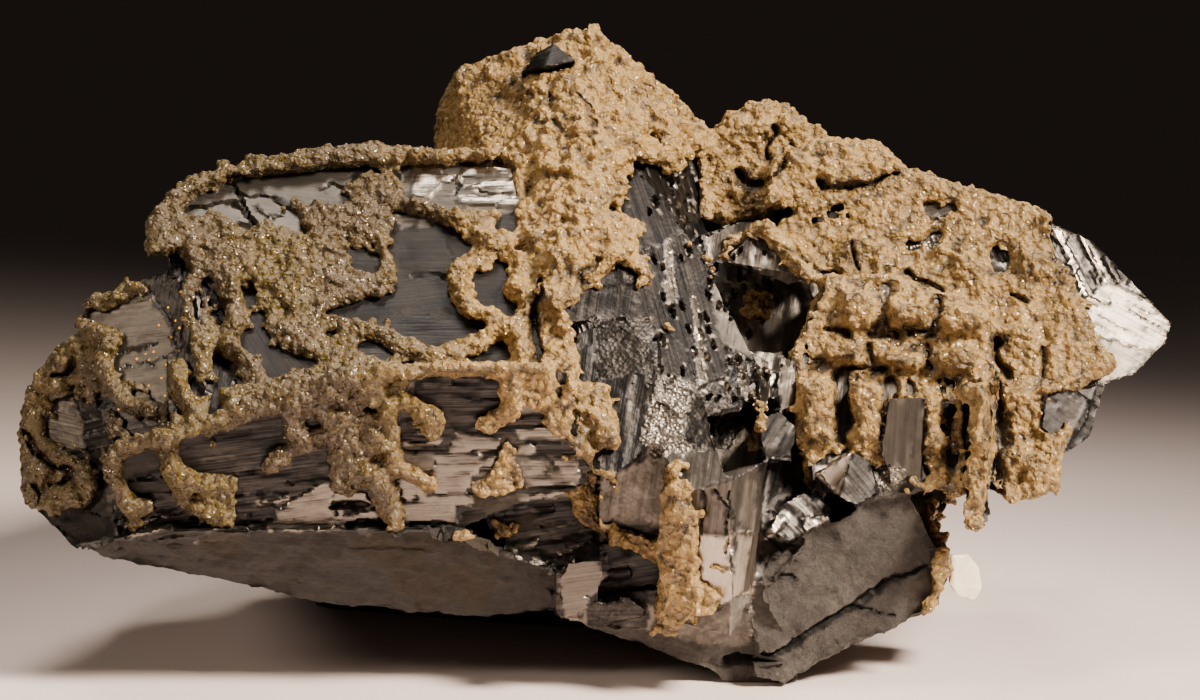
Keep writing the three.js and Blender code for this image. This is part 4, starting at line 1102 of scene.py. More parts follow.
# Beds of crust on the show side: the outline, and how coarse the lumps under it are.
BEDS = [
    ([(5, 40.5), (8, 43.5), (9.5, 45.5), (13, 45), (12, 37.5), (8, 37.8)], 0.9),
    (
        [(39, 42), (44, 43), (49, 42.5), (52, 41), (49, 38), (47, 36.8), (44, 37.4), (41, 37), (39, 38.5)],
        1.1,
    ),
    ([(41, 35.4), (44, 35.4), (47, 34.5), (48, 32), (46, 30.8), (42.5, 31.5), (41, 33)], 1.0),
    ([(41, 31), (45, 31), (46.6, 28.6), (45, 26.5), (42, 26.5)], 0.9),
    ([(45, 28.3), (49, 28.5), (49.5, 25.5), (47, 24.8)], 0.8),
    (
        [
            (28.5, 53), (29.5, 56), (32, 58), (36, 58.3), (39, 57.6), (42, 58.3), (42.5, 55), (43.4, 52.4),
            (40, 50.4), (35, 50.8), (31, 51.4),
        ],
        1.1,
    ),
    ([(37.5, 59.8), (38.2, 61.4), (43, 62), (48.5, 61.6), (49, 59.6), (44, 58.6), (40, 58.5)], 1.0),
    ([(55.3, 61), (62, 60.8), (62.4, 59.3), (59, 59), (57, 57.8), (55.8, 59)], 1.0),
    ([(63.5, 40.3), (69, 40.3), (69.5, 37), (64, 37)], 1.1),
    ([(68.3, 35), (70, 37.5), (72.5, 37.5), (74.4, 36.5), (74, 33.8), (73, 31), (70, 33.5)], 1.2),
    ([(66, 60), (73, 62), (78, 60), (77, 55), (72, 52.5), (68, 54)], 1.5),
    ([(94.5, 47.6), (93, 49.2), (94, 51), (96, 50.4), (96, 48.4)], 1.3),
]

# Places where budlike lumps stand up to this radius, this far apart on the sheet.
BUDS = [
    (
        [(65.5, 62), (65, 74), (70, 79), (74, 83), (80, 79), (88, 70), (84, 67), (78, 67), (77, 62)], 1.5,
        2.9,
    ),
    ([(54.5, 68), (55.5, 74), (60, 79), (66, 80), (66, 69)], 1.2, 4.5),
    ([(89, 61), (89, 72), (96, 74), (103, 71), (99, 65), (94, 60)], 1.7, 3.6),
    ([(97, 60), (104, 63), (116, 65), (130, 60), (136, 46), (126, 47), (122, 53), (106, 54)], 1.1, 4.2),
]

# Single lumps: the place on the sheet and the radius.
KNOTS = [
    ((75.8, 57.2), 2.1), ((77.9, 58.2), 1.6), ((77.4, 55.9), 1.5), ((74, 59.6), 1.7), ((72.4, 61.6), 1.5),
    ((69.8, 60), 1.6), ((70.5, 56.6), 1.7), ((77.6, 64.4), 1.4), ((76.8, 62.2), 1.1), ((78.2, 66.6), 1.0),
    ((74, 83), 1.5), ((67.3, 82.3), 1.3), ((61.5, 78), 1.6), ((58.3, 77.8), 1.8), ((55.8, 73.5), 1.3),
    ((64, 80.2), 1.3), ((87.6, 71.2), 1.3), ((85.6, 73.4), 1.2), ((17.2, 52.8), 1.3), ((13.3, 49.3), 1.0),
    ((23.8, 51.5), 0.9), ((33.3, 58.6), 1.3), ((35.3, 58), 1.2), ((38.6, 60.3), 1.3), ((75.5, 33.4), 1.4),
    ((95.5, 73), 1.6), ((92, 72), 1.5), ((98.3, 72), 1.4), ((118, 28.6), 1.4), ((133, 27.8), 1.4),
    ((129, 28), 1.8), ((34.7, 30), 0.9), ((52, 36.4), 1.1), ((121, 38.6), 1.5), ((123.2, 38.6), 1.5),
    ((122, 40), 1.2),
]

# Dark gaps between coated prisms: how wide and deep each is, and its path on the sheet.
GAPS = [
    (0.9, 3.0, [(110.3, 51.6), (110.5, 49), (110.2, 46.2)]),
    (0.9, 2.8, [(117, 49.8), (117.3, 47.6), (116.8, 45.6)]),
    (0.9, 2.8, [(108.6, 45.7), (111.5, 46.1), (114, 45.7), (116.6, 45.9)]),
    (0.8, 2.0, [(103.4, 46.2), (106, 45.8)]), (1.0, 3.2, [(124.6, 45.2), (124.3, 43), (126.4, 40.6)]),
    (0.8, 2.4, [(108.6, 44.4), (108.8, 42)]), (0.8, 2.2, [(116.2, 44.2), (116.4, 41.6)]),
    (0.8, 2.2, [(105.4, 41.4), (107.6, 41.2), (110.4, 41.3)]),
    (1.2, 3.6, [(105.6, 40.6), (105.8, 37), (105.5, 32.6)]),
    (0.9, 3.2, [(110.9, 39.5), (111.1, 36), (110.7, 32)]), (0.9, 2.4, [(113.7, 40), (114, 38.6)]),
    (1.1, 4.0, [(119, 39), (118.8, 36), (119, 33), (119, 29.6)]),
    (1.2, 4.0, [(124.9, 39.4), (124.6, 36), (124.9, 31), (124.4, 25.6)]),
    (0.8, 1.8, [(100.8, 42.4), (102.6, 42.2)]), (0.7, 1.4, [(113.2, 53.3), (115.6, 52.2), (118, 51.4)]),
    (0.7, 1.2, [(128.6, 50.1), (126.4, 50.6)]), (0.8, 1.2, [(96.8, 71.6), (96.3, 69.4), (96, 67.5)]),
    (0.9, 1.6, [(103, 64.3), (106, 64.1), (109, 64.8), (112, 65.6)]),
    (0.8, 1.3, [(98.8, 69.4), (97.5, 66.4), (95.5, 64.5)]),
    (1.1, 2.0, [(92, 66), (93.6, 64.6), (95, 64.6)]), (1.1, 2.0, [(67.3, 52.5), (67, 47), (67.4, 42)]),
    (0.9, 1.4, [(72.6, 52.8), (74.8, 55)]), (1.0, 1.8, [(5, 30.6), (6.4, 29.6), (8.4, 28.4)]),
    (0.9, 1.6, [(6.2, 26.9), (7.8, 26.7), (8.6, 27.6)]), (1.0, 1.4, [(3.4, 34), (4.2, 31.4)]),
    (0.9, 1.4, [(6.6, 40.4), (8.4, 40.6), (9, 42.6)]), (0.8, 1.2, [(4.2, 27), (5, 24.6)]),
    (0.6, 1.0, [(106.2, 57), (107.4, 54)]), (0.6, 0.9, [(130.2, 44), (130, 40.6)]),
    (1.0, 0.5, [(69.2, 83), (69.5, 79), (68.6, 75), (69.6, 71)]),
    (1.0, 0.45, [(77, 81), (76, 77.6), (77.4, 74.4)]), (1.0, 0.5, [(72.4, 75.6), (74.4, 72), (73.4, 68.6)]),
    (0.9, 0.4, [(80.6, 76.4), (81, 73.4), (83, 71.6)]),
]

# Holes in the crust, down to the metal.
HOLES = [
    [
        (25.4, 62), (27.6, 64.4), (33, 65.6), (42, 66.2), (44.4, 65.2), (41.5, 63.2), (38, 61.8),
        (37.4, 60), (34, 59.8), (31, 60),
    ],
    [(4.8, 32.8), (4.9, 36.2), (8.4, 36.9), (9.2, 34.6), (9.4, 31.8), (7, 31.6)],
    [(9.6, 40.2), (10.6, 41.6), (12.2, 41.3), (12.5, 38.8), (10, 38.6)],
    [(12.6, 31), (12, 28), (12.6, 24.8), (10.8, 23.2), (9.8, 23.4), (11.6, 27), (11, 30)],
    [(43.2, 55), (44, 57.8), (47.5, 58), (48, 56.5), (47.4, 54.5), (46, 53.8), (44.3, 54)],
    [(41.5, 36.3), (42.5, 37.5), (45, 37.2), (44.5, 36.2)],
    [(44.5, 35), (45, 36.4), (48, 36.6), (48, 35)],
    [(46.2, 29), (46.2, 30.8), (48.3, 31), (48.5, 28.9)],
    [(42.9, 32.6), (43.4, 33.6), (44.8, 33.4), (44.3, 32.4)],
    [(50, 33.6), (50, 36), (51.4, 36), (53, 34.6), (52.5, 33.6)],
    [(45, 66), (46, 66.9), (47.2, 66), (46.2, 65.3)],
    [(76.2, 72.4), (77.4, 73.3), (79.2, 72.2), (78.8, 71.6)],
    [(81.4, 70.5), (82.3, 72.7), (83.5, 71), (83.2, 69.2)],
    [(115, 60.6), (115.3, 62.8), (117.5, 63.1), (119.8, 62.5), (119.8, 60.7), (117, 60.4)],
    [(46, 62.5), (47, 63.3), (48.2, 62.8), (47.4, 62.3)],
    [(31, 50.8), (33, 51), (34, 48.5), (32.5, 47)],
    [(105, 51.3), (106.2, 52), (106.6, 50.6), (105.5, 50.4)],
]

SINK = 0.5  # the crust's body lies this much inside the frame's, and its globules stand out again
RAGGED = 1.5  # how deep the body is eaten away at its thinnest
WARP = 0.6  # how far its edges wander
BURIED = 0.8  # how deep the crust's underside reaches into the metal
TOUCHING = 0.5  # the frame's crust this near to the metal is its underside
BODY_FINENESS, LUMPY_FINENESS = 0.5, 0.45
SPACING = 0.7  # between the middles of two globules, in their radii added up
BARE = 0.12  # the body this near to the metal bears no globules
NARROW = 0.33  # radius of the balls that a strand is laid with, for its width
LARGEST_BALL = 2.4
CRUMB_CHANCE = 0.04
FRINGE = 1.1  # how far from the crust's edge its last crumbs sit
DRUSE_SIZE, DRUSE_DEPTH, DRUSE_STEP, DRUSE_JITTER = 0.7, 0.15, 0.10, 0.1
NODULE, NODULE_DEPTH = 2.1, 0.4  # how wide a nodule of globules is, and how deep the creases round it
GAP_WANDER = 0.5  # how far the gaps wander on the sheet
AROUND = tuple(itertools.product((-1, 0, 1), repeat=3))  # a cell and those that touch it

# the crust's thirds along X, each a piece of its own
THIRDS = (("crust_left", None, -25.0), ("crust_middle", -25.0, 21.0), ("crust_right", 21.0, None))


def ball():
    """A small faceted ball."""
    work = bmesh.new()
    bmesh.ops.create_icosphere(work, subdivisions=2, radius=1.0)
    points = np.array([vertex.co for vertex in work.verts])
    faces = np.array([[vertex.index for vertex in face.verts] for face in work.faces])
    work.free()
    return points, faces


def drift_of(points):
    """A slow wandering, one number for each axis."""
    return np.stack([cloud(points, 3.2, 91 + k) for k in range(3)], axis=1)


def scattered(points, radii, random):
    """Picks places so that globules of these radii lie side by side."""
    taken, grid = [], {}
    for k in random.permutation(len(points)).tolist():
        x, y, z = points[k]
        radius = radii[k]
        cell = (int(x // LARGEST_BALL), int(y // LARGEST_BALL), int(z // LARGEST_BALL))
        near = (grid.get((cell[0] + i, cell[1] + j, cell[2] + m), ()) for i, j, m in AROUND)
        if any(
            (x - a) ** 2 + (y - b) ** 2 + (z - c) ** 2 < (SPACING * (radius + other)) ** 2
            for spots in near for a, b, c, other in spots
        ):
            continue
        taken.append(k)
        grid.setdefault(cell, []).append((x, y, z, radius))
    return np.array(taken)


def globules(centres, radii, random):
    """One mesh of many slightly squashed balls."""
    points, faces = ball()
    squash = random.uniform(0.82, 1.12, (len(centres), 1, 3))
    every = centres[:, None] + points[None] * radii[:, None, None] * squash
    joined = faces[None] + (np.arange(len(centres)) * len(points))[:, None, None]
    return every.reshape(-1, 3), joined.reshape(-1, 3)


def triangle_list(mesh):
    mesh.calc_loop_triangles()
    corners = np.empty(len(mesh.loop_triangles) * 3, dtype=np.int32)
    mesh.loop_triangles.foreach_get("vertices", corners)
    return corners.reshape(-1, 3)


def with_balls(mesh, centres, radii, random):
    """A closed mesh and many balls as one mesh."""
    points, _ = read(mesh)
    ball_points, ball_faces = globules(centres, radii, random)
    faces = np.vstack([triangle_list(mesh), ball_faces + len(points)])
    return new_mesh("crust", np.vstack([points, ball_points]), faces)


def lumps_on(trees, random):
    """The balls that the strands, beds, buds and knots are laid with: middles and radii."""
    wanted = []
    for width, path in STRANDS:
        for spot in spots_along(path, 0.4 * width):
            spot = spot + random.normal(0, 0.08 * width, 2)
            wanted.append((spot, NARROW * width * random.uniform(0.8, 1.2), -0.1))
    for outline, size in BEDS:
        for spot in spots_within(outline, 0.95 * size, random):
            wanted.append((spot, size * random.uniform(0.45, 0.8), -0.2))
    for outline, size, apart in BUDS:
        for spot in spots_within(outline, apart, random):
            wanted.append((spot, size * random.uniform(0.55, 1.0), 0.45))
    wanted += [(spot, radius, 0.35) for spot, radius in KNOTS]
    centres, radii = [], []
    for spot, radius, sunk in wanted:
        way = Vector(towards(spot))
        hits = [tree.ray_cast(Vector(VIEWER), way) for tree in trees]
        hits = [hit for hit in hits if hit[0] is not None]
        if hits:
            place, normal, _, _ = min(hits, key=lambda hit: hit[3])
            centres.append(place - (normal - way).normalized() * (radius * sunk))
            radii.append(radius)
    return np.array(centres), np.array(radii)


def crust_body(metal):
    """The frame's crust with its underside in the metal, sunk, ragged, and open where it has holes."""
    body = frame_mesh(CRUST_NODES)
    points, _ = read(body)
    places, flat, gap = nearest_on(metal, points)
    under = gap < TOUCHING
    points[under] = (places - flat * BURIED)[under]
    write(body, points)
    body = remeshed(body, BODY_FINENESS)

    points, normals = read(body)
    places, flat, gap = nearest_on(metal, points)
    free = ramp(gap, 0.1, 0.8)
    drift = drift_of(points)
    drift -= flat * np.einsum("ij,ij->i", drift, flat)[:, None]
    sheet = on_sheet(points)
    left = ramp(-sheet[:, 0], -84, -70)
    eaten = ramp(cloud(points, 2.4, 95) + 0.4 * cloud(points, 1.2, 96), 0.35, 0.85) * (0.35 + 0.65 * left)
    swell = 0.35 * cloud(points, 4.5, 97) - SINK - RAGGED * eaten
    moved = points + drift * (WARP * free)[:, None] + normals * (swell * free)[:, None]
    sheet += np.stack([cloud(points, 1.5, 98), cloud(points, 1.5, 99)], axis=1) * 0.4
    bare = on_show(flat) & np.any([inside(sheet, outline) for outline in HOLES], axis=0)
    moved[bare] = (places - flat * BURIED)[bare]
    write(body, moved)
    return body


def globule_sizes(points, random):
    """A radius for a globule at each point, by how coarse the crust is there."""
    sheet = on_sheet(points)
    least, most = (np.full(len(points), value) for value in USUAL_COARSENESS)
    for outline, low, high in COARSENESS:
        here = inside(sheet, outline)
        least[here], most[here] = low, high
    return least + (most - least) * random.random(len(points)) ** 1.5


def coated(body, metal, random):
    """A body with globules side by side all over it, and crumbs past its edge."""
    points, normals = read(body)
    places, flat, gap = nearest_on(metal, points)
    sizes = globule_sizes(points, random)
    proud = np.nonzero(gap > BARE)[0]
    chosen = proud[scattered(points[proud], sizes[proud], random)]
    sizes = sizes[chosen]
    depth = sizes * random.uniform(-0.2, 0.45, len(chosen))
    centres = points[chosen] - normals[chosen] * depth[:, None]

    rim = np.nonzero((gap > -0.1) & (gap < 0.4) & (cloud(points, 3.0, 101) > -0.1))[0]
    rim = rim[random.random(len(rim)) < CRUMB_CHANCE]
    outward = normals[rim] - flat[rim] * np.einsum("ij,ij->i", normals[rim], flat[rim])[:, None]
    crumbs = places[rim] + outward * random.uniform(0.2, FRINGE, (len(rim), 1))
    crumbs, crumb_flat, _ = nearest_on(metal, crumbs)
    crumb_sizes = random.uniform(0.28, 0.6, len(crumbs))
    crumbs += crumb_flat * (0.15 * crumb_sizes)[:, None]
    return with_balls(body, np.vstack([centres, crumbs]), np.append(sizes, crumb_sizes), random)


def druse_on(points, normals, height, random):
    """Moves a crust's points so that it is made of small crystals whose faces stand at all angles."""
    near, mark = cells(points, DRUSE_SIZE, 61)
    druse = DRUSE_DEPTH * (0.6 - near) + DRUSE_STEP * (mark - 0.5)
    swollen, _ = cells(points + 0.3 * drift_of(points), NODULE, 63)
    druse -= NODULE_DEPTH * swollen**2 * ramp(on_sheet(points)[:, 0], 45, 75)
    jitter = (random.random((len(points), 3)) - 0.5) * DRUSE_JITTER
    return points + height * (normals * druse[:, None] + jitter)


def open_gaps(points, metal):
    """Carves the gaps, which wander, pinch and swell, and whose shoulders are round."""
    sheet = on_sheet(points)
    sheet += np.stack([fractal(points, 2.4, 98, 2), fractal(points, 2.4, 104, 2)], axis=1) * GAP_WANDER
    pinch = np.maximum(0.8 + 0.7 * cloud(points, 2.0, 107), 0.1)
    deepest = np.zeros(len(points))
    for width, depth, path in GAPS:
        reach = distance_to(sheet, path) / (width * pinch)
        slot, shoulder = 1 - ramp(reach, 0.2, 0.7), 1 - ramp(reach, 0.3, 1.6)
        deepest = np.maximum(deepest, depth * (0.8 * slot + 0.2 * shoulder))
    near_gap = np.nonzero(deepest > 0)[0]
    _, flat, gap = nearest_on(metal, points[near_gap])
    near_gap = near_gap[on_show(flat) & (gap > 0)]
    points[near_gap] += FORWARD * deepest[near_gap, None]


def build_crust(settings):
    random = np.random.default_rng(11)
    metal = surface_of(frame_mesh([METAL_NODE]))
    body = crust_body(metal)
    centres, radii = lumps_on([metal, surface_of(body)], random)
    body = remeshed(with_balls(body, centres, radii, random), LUMPY_FINENESS)
    calm = surface_of(body)
    crust = remeshed(coated(body, metal, random), settings.fineness / MM)
    points = druse_on(*read(crust), settings.druse, random)
    open_gaps(points, metal)
    write(crust, keep_in_box(points))

    material = crust_material(settings)
    for name, low, high in THIRDS:
        mesh = cut(crust, low, high)
        _, flat, gap = nearest_on(metal, read(mesh)[0])
        spare = np.where(gap < -0.2, 1.0, np.where(on_show(flat), 0.2, 0.5))
        mesh = thinned(mesh, settings.budget, spare)
        points, _ = read(mesh)
        _, _, lift = nearest_on(calm, points)
        # the olive left is painted darker: partly its own greener tone, partly painted shade
        honey = ramp(on_sheet(points)[:, 0] + 5 * cloud(points, 9, 71), 42, 66)
        # painted shade: the material paints crevices darker where a point lies low under the globules
        set_attribute(mesh, "lift", ramp(lift, -0.35, 0.5))
        set_attribute(mesh, "honey", honey)
        set_attribute(mesh, "grey", ramp(cloud(points, 8, 72) + 0.8 * (1 - honey), 0.2, 1.5))
        place(mesh, name, CRUST_NODES, "siderite", material, smooth=False)


BEADS_PER_METRE = 1100.0  # beads about 0.9 mm across
DRUSE_PER_METRE = 2400.0  # each of small crystals about 0.4 mm across
TINT_PER_METRE = 420.0  # blobs about 2.4 mm across
GLASSY_SHARE = 0.25  # of the small crystals that are flat and glassy; the rest are frosted


def crust_material(settings):
    """Siderite druse: tan, a little see-through, with glassy faces that glint one by one."""
    material, tree = new_material("Siderite, fine druse")
    where = node(tree, "TexCoord").outputs["Object"]
    honey, grey, lift = (
        node(tree, "Attribute", attribute_name=name).outputs["Fac"] for name in ("honey", "grey", "lift")
    )
    beads = node(tree, "TexVoronoi", {"Vector": where, "Scale": BEADS_PER_METRE})
    beads = node(tree, "Math", {0: beads, 1: beads}, operation="MULTIPLY")
    grains = node(tree, "TexVoronoi", {"Vector": where, "Scale": DRUSE_PER_METRE})
    pick = node(tree, "SeparateColor", {"Color": grains.outputs["Color"]})
    tint = {"Vector": where, "Scale": TINT_PER_METRE, "Detail": 4.0, "Roughness": 0.6}
    tint = node(tree, "TexNoise", tint)

    # olive, honey or greyer by the place, the left partly in painted shade, and painted shade between
    # the globules and between the beads
    light = node(tree, "Mix", {"Factor": honey, "A": settings.light, "B": settings.honey}, data_type="RGBA")
    light = node(tree, "Mix", {"Factor": grey, "A": light, "B": settings.grey}, data_type="RGBA")
    lift = node(tree, "Math", {0: pick.outputs["Red"], 1: 0.2, 2: lift}, operation="MULTIPLY_ADD")
    lift = node(tree, "Math", {0: tint, 1: 0.4, 2: lift}, operation="MULTIPLY_ADD")
    # painted shade in the creases between the beads
    lift = node(tree, "Math", {0: beads, 1: -0.5, 2: lift}, operation="MULTIPLY_ADD")
    lift = node(tree, "MapRange", {"Value": lift, "From Min": 0.1, "From Max": 0.95})
    base = node(tree, "Mix", {"Factor": lift, "A": settings.shade, "B": light}, data_type="RGBA")

    glassy = node(tree, "Math", {0: pick.outputs["Green"], 1: 1 - GLASSY_SHARE}, operation="GREATER_THAN")
    rough = node(tree, "MapRange", {"Value": glassy, "To Min": 0.62, "To Max": 0.13})
    bumps = node(tree, "Bump", {"Height": beads, "Strength": 0.8, "Distance": 0.5 * MM}, invert=True)
    bumps = {"Height": grains, "Strength": 0.55, "Distance": 0.16 * MM, "Normal": bumps}
    bumps = node(tree, "Bump", bumps, invert=True)
    shader = {
        "Base Color": base, "Roughness": rough, "Normal": bumps, "IOR": 1.65, "Subsurface Weight": 0.03,
        "Subsurface Radius": (1.0, 0.7, 0.4), "Subsurface Scale": 0.7 * MM,
    }
    node(tree, "OutputMaterial", {"Surface": node(tree, "BsdfPrincipled", shader)})
    return material


# ---------------------------------------------------------------- the calcite
CALCITE_FINENESS = 0.28
CALCITE_STEP = 2.6  # how wide its cleavage steps are
STAINED_EDGE = (-43.6, -42.6)  # where its side against the crust turns tan, left of the middle
VEILS_PER_METRE = 500.0  # cloudy veils about 2 mm across


def build_calcite(settings):
    mesh = remeshed(frame_mesh([CALCITE_NODE]), CALCITE_FINENESS)
    mesh = with_modifier(mesh, "SMOOTH", iterations=6, factor=0.5)
    points, normals = read(mesh)
    _, mark = cells(points, CALCITE_STEP, 81)
    points = points - normals * (0.1 + 0.12 * fractal(points, 2.5, 82) + 0.12 * mark)[:, None]
    write(mesh, keep_in_box(points))
    set_attribute(mesh, "stain", ramp(-points[:, 0], *STAINED_EDGE))
    place(mesh, "calcite_cleavage", [CALCITE_NODE], "calcite", calcite_material(settings), smooth=True)


def calcite_material(settings):
    """Calcite: cream, cloudy and let through by light, and tan where the crust stains it."""
    material, tree = new_material("Calcite, cleaved")
    where = node(tree, "TexCoord").outputs["Object"]
    stain = node(tree, "Attribute", attribute_name="stain").outputs["Fac"]
    veil = node(tree, "TexNoise", {"Vector": where, "Scale": VEILS_PER_METRE, "Detail": 4.0})
    base = node(tree, "Mix", {"Factor": veil, "A": settings.warm, "B": settings.pale}, data_type="RGBA")
    base = node(tree, "Mix", {"Factor": stain, "A": base, "B": settings.stain}, data_type="RGBA")
    bumps = node(tree, "Bump", {"Height": veil, "Strength": 0.3, "Distance": 0.3 * MM})
    shader = {
        "Base Color": base, "Roughness": 0.38, "Normal": bumps, "IOR": 1.6, "Subsurface Weight": 0.5,
        "Subsurface Radius": (1.0, 0.8, 0.6), "Subsurface Scale": 2.5 * MM,
    }
    node(tree, "OutputMaterial", {"Surface": node(tree, "BsdfPrincipled", shader)})
    return material


# ---------------------------------------------------------------- floor, lights and camera
LIT_SPOT = Vector((0, -0.04, 0.03))  # in metres, as all the lights' places are


def soft_light(name, place, size, watts, tint, spread):
    data = bpy.data.lights.new(name, "AREA")
    data.shape, data.size, data.size_y = "RECTANGLE", *size
    data.energy, data.color, data.spread = watts, linear(tint), math.radians(spread)
    item = bpy.data.objects.new(name, data)
    item.visible_camera = False
    item.location = place
    item.rotation_euler = (LIT_SPOT - Vector(place)).to_track_quat("-Z", "Y").to_euler()
    bpy.context.scene.collection.objects.link(item)


CARD_PER_METRE = 66.0  # faint mottling, 15 mm across


def floor_material(settings):
    """Matt card: pale, with a mottling that is only just there."""
    material, tree = new_material("Floor, matt card")
    where = node(tree, "TexCoord").outputs["Object"]
    mottle = node(tree, "TexNoise", {"Vector": where, "Scale": CARD_PER_METRE, "Detail": 3.0})
    darker = [0.94 * part for part in settings.floor]
    base = node(tree, "Mix", {"Factor": mottle, "A": settings.floor, "B": darker}, data_type="RGBA")
    shader = node(tree, "BsdfPrincipled", {"Base Color": base, "Roughness": 0.55})
    node(tree, "OutputMaterial", {"Surface": shader})
    return material


def build_stage(settings):
    reach = settings.floor_size / MM / 2
    corners = np.array([[-reach, -reach, 0], [reach, -reach, 0], [reach, reach, 0], [-reach, reach, 0]])
    mesh = new_mesh("floor", corners, np.array([[0, 1, 2, 3]]))
    mesh.materials.append(floor_material(settings))
    floor = bpy.data.objects.new("floor", mesh)
    bpy.context.scene.collection.objects.link(floor)

    world = bpy.data.worlds.new("studio")
    world.use_nodes = True
    background = world.node_tree.nodes["Background"]
    background.inputs["Color"].default_value = (*settings.air, 1.0)
    background.inputs["Strength"].default_value = settings.air_strength
    bpy.context.scene.world = world

    soft_light("key", (0.42, -0.28, 0.46), (0.16, 0.16), settings.key, "#ffeedb", 28)
    soft_light("overhead", (-0.04, 0.01, 0.60), (0.30, 0.13), settings.overhead, "#fff6ee", 30)
    soft_light("fill", (-0.52, -0.30, 0.34), (0.16, 0.16), settings.fill, "#ffe9d2", 26)
    soft_light("rear", (0.05, 0.34, 0.50), (0.24, 0.16), settings.rear, "#ffeedd", 26)

    data = bpy.data.cameras.new("camera")
    data.lens, data.sensor_width = LENS, SENSOR
    data.clip_start, data.clip_end = 0.01, 20.0
    camera = bpy.data.objects.new("camera", data)
    camera.location = VIEWER * MM
    camera.rotation_euler = (math.pi / 2 - VIEW_TILT, 0, 0)
    bpy.context.scene.collection.objects.link(camera)
    bpy.context.scene.camera = camera


# ---------------------------------------------------------------- settings
def shade(name, description, code):
    return bpy.props.FloatVectorProperty(
        name=name, description=description, default=linear(code), subtype="COLOR", size=3, min=0.0, max=1.0,
    )


def number(name, description, default, **settings):
    return bpy.props.FloatProperty(name=name, description=description, default=default, **settings)


def length(name, description, default):
    return number(name, description, default, subtype="DISTANCE", unit="LENGTH")


def power(name, description, default):
    return number(name, description, default, unit="POWER")


def whole_number(name, description, default):
    return bpy.props.IntProperty(name=name, description=description, default=default)


class CrystalSettings(bpy.types.PropertyGroup):
    fineness: length("Fineness", "Spacing of the metal's vertices", 0.32 * MM)
    relief: number("Relief", "Depth of striations, steps and cracks, 1 as found", 1.0, subtype="FACTOR")
    budget: whole_number("Triangles", "Most triangles of the metal", 360000)
    metal: shade("Clean metal", "Fresh cleavages", "#beb3a4")
    tarnish: shade("Tarnish", "Old faces", "#23272d")
    tarnish_brown: shade("Brown tarnish", "Old faces, in patches", "#2a2521")
    # the foot's ore colours and its stain are set darker than their own, partly as painted shade on the foot
    ore: shade("Ore", "The granular foot", "#403a34")
    ore_shade: shade("Ore in shade", "Between the foot's grains", "#2a2622")
    ore_cover: number("Ore cover", "How dull the foot is", 0.9, subtype="FACTOR")
    stain: shade("Stain", "Tan film on the foot", "#33291a")
    gold: shade("Gold", "Tarnish-coloured small crystals", "#e0a23a")
    # painted shade inside open cracks
    painted_crack_shade: shade("Cracks", "Inside open cracks", "#14110f")


class CrustSettings(bpy.types.PropertyGroup):
    fineness: length("Fineness", "Spacing of the crust's vertices", 0.3 * MM)
    druse: number("Druse", "Height of the small crystals, 1 as found", 1.0, subtype="FACTOR")
    budget: whole_number("Triangles", "Most triangles of each third", 190000)
    # the olive is set darker, partly as painted shade on the left
    light: shade("Olive", "The crust on the left", "#554417")
    honey: shade("Honey", "The crust in the middle and on the right", "#9a7b44")
    # greyer patches, and painted shade on the left
    grey: shade("Greyer", "The crust in patches on the left", "#49391d")
    # painted shade, in the crevices between the globules
    shade: shade("Shade", "Between the globules", "#33240e")


class CalciteSettings(bpy.types.PropertyGroup):
    pale: shade("Pale", "Clouded calcite", "#f4e6c8")
    warm: shade("Warm", "Clear calcite", "#ecdcc4")
    stain: shade("Stain", "Where the crust stains it", "#b08a5a")


class StageSettings(bpy.types.PropertyGroup):
    floor_size: length("Floor", "Width of the floor", 4.0)
    floor: shade("Floor colour", "Matt card", "#efe0dc")
    air: shade("Air", "Light from all round", "#8a7f76")
    air_strength: number("Air strength", "How bright all round is", 0.05)
    key: power("Key", "Softbox at the upper right", 0.56)
    overhead: power("Overhead", "Softbox above", 0.08)
    fill: power("Fill", "Softbox at the left", 0.05)
    rear: power("Rear", "Softbox behind", 0.09)


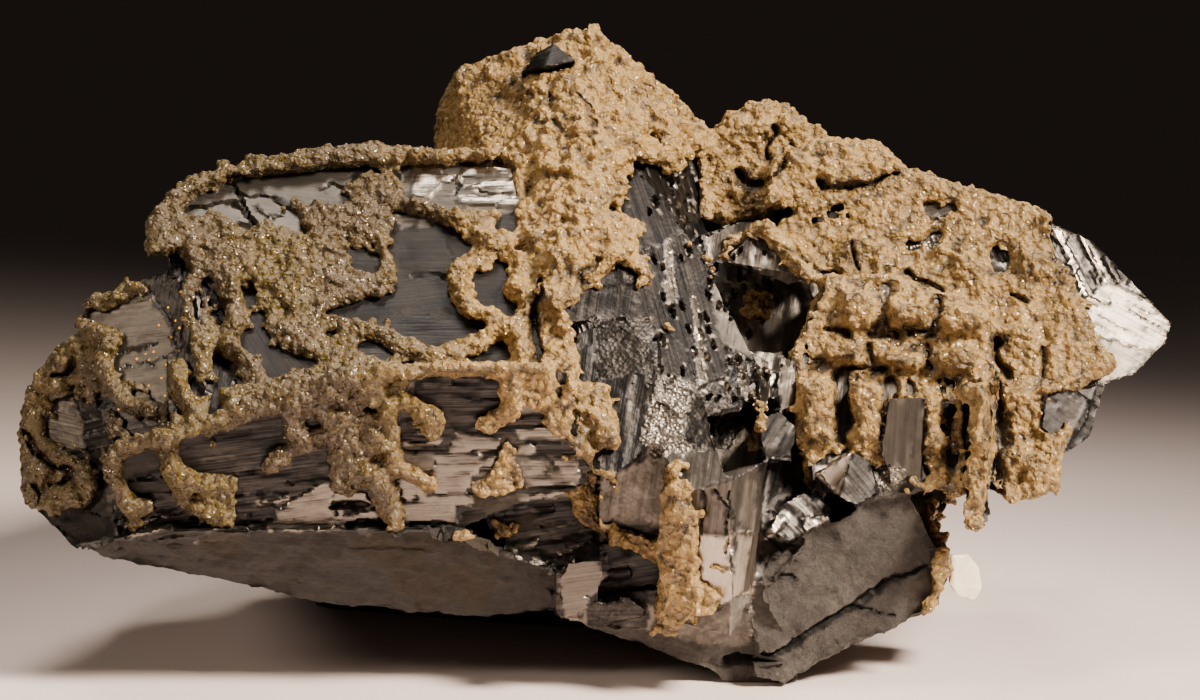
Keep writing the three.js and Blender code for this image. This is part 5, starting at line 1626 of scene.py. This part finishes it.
# ---------------------------------------------------------------- operators
class SPECIMEN_OT_stage(bpy.types.Operator):
    """Lay the floor and set the lights and the camera"""

    bl_idname = "specimen.stage"
    bl_label = "Stage"

    def execute(self, context):
        build_stage(context.scene.specimen_stage)
        return {"FINISHED"}


class SPECIMEN_OT_crystals(bpy.types.Operator):
    """Dress the arsenopyrite crystals with striations, cracks, pits and tarnish"""

    bl_idname = "specimen.crystals"
    bl_label = "Crystals"

    def execute(self, context):
        build_crystals(context.scene.specimen_crystals)
        return {"FINISHED"}


class SPECIMEN_OT_crust(bpy.types.Operator):
    """Grow the siderite crust's globules and druse"""

    bl_idname = "specimen.crust"
    bl_label = "Crust"

    def execute(self, context):
        build_crust(context.scene.specimen_crust)
        return {"FINISHED"}


class SPECIMEN_OT_calcite(bpy.types.Operator):
    """Round off the calcite cleavage"""

    bl_idname = "specimen.calcite"
    bl_label = "Calcite"

    def execute(self, context):
        build_calcite(context.scene.specimen_calcite)
        return {"FINISHED"}


class SPECIMEN_PT_panel(bpy.types.Panel):
    """Steps that dress the specimen"""

    bl_label = "Specimen"
    bl_idname = "SPECIMEN_PT_panel"
    bl_space_type = "VIEW_3D"
    bl_region_type = "UI"
    bl_category = "Specimen"

    def draw(self, context):
        for operator in OPERATORS:
            self.layout.operator(operator.bl_idname)


SETTINGS = {
    "specimen_stage": StageSettings,
    "specimen_crystals": CrystalSettings,
    "specimen_crust": CrustSettings,
    "specimen_calcite": CalciteSettings,
}
OPERATORS = (SPECIMEN_OT_stage, SPECIMEN_OT_crystals, SPECIMEN_OT_crust, SPECIMEN_OT_calcite)


def register():
    for kind in (*SETTINGS.values(), *OPERATORS, SPECIMEN_PT_panel):
        bpy.utils.register_class(kind)
    for name, kind in SETTINGS.items():
        setattr(bpy.types.Scene, name, bpy.props.PointerProperty(type=kind))


def unregister():
    for name in SETTINGS:
        delattr(bpy.types.Scene, name)
    for kind in reversed((*SETTINGS.values(), *OPERATORS, SPECIMEN_PT_panel)):
        bpy.utils.unregister_class(kind)


def main():
    register()
    bpy.ops.specimen.stage()
    bpy.ops.specimen.crystals()
    bpy.ops.specimen.crust()
    bpy.ops.specimen.calcite()


if __name__ == "__main__":
    main()
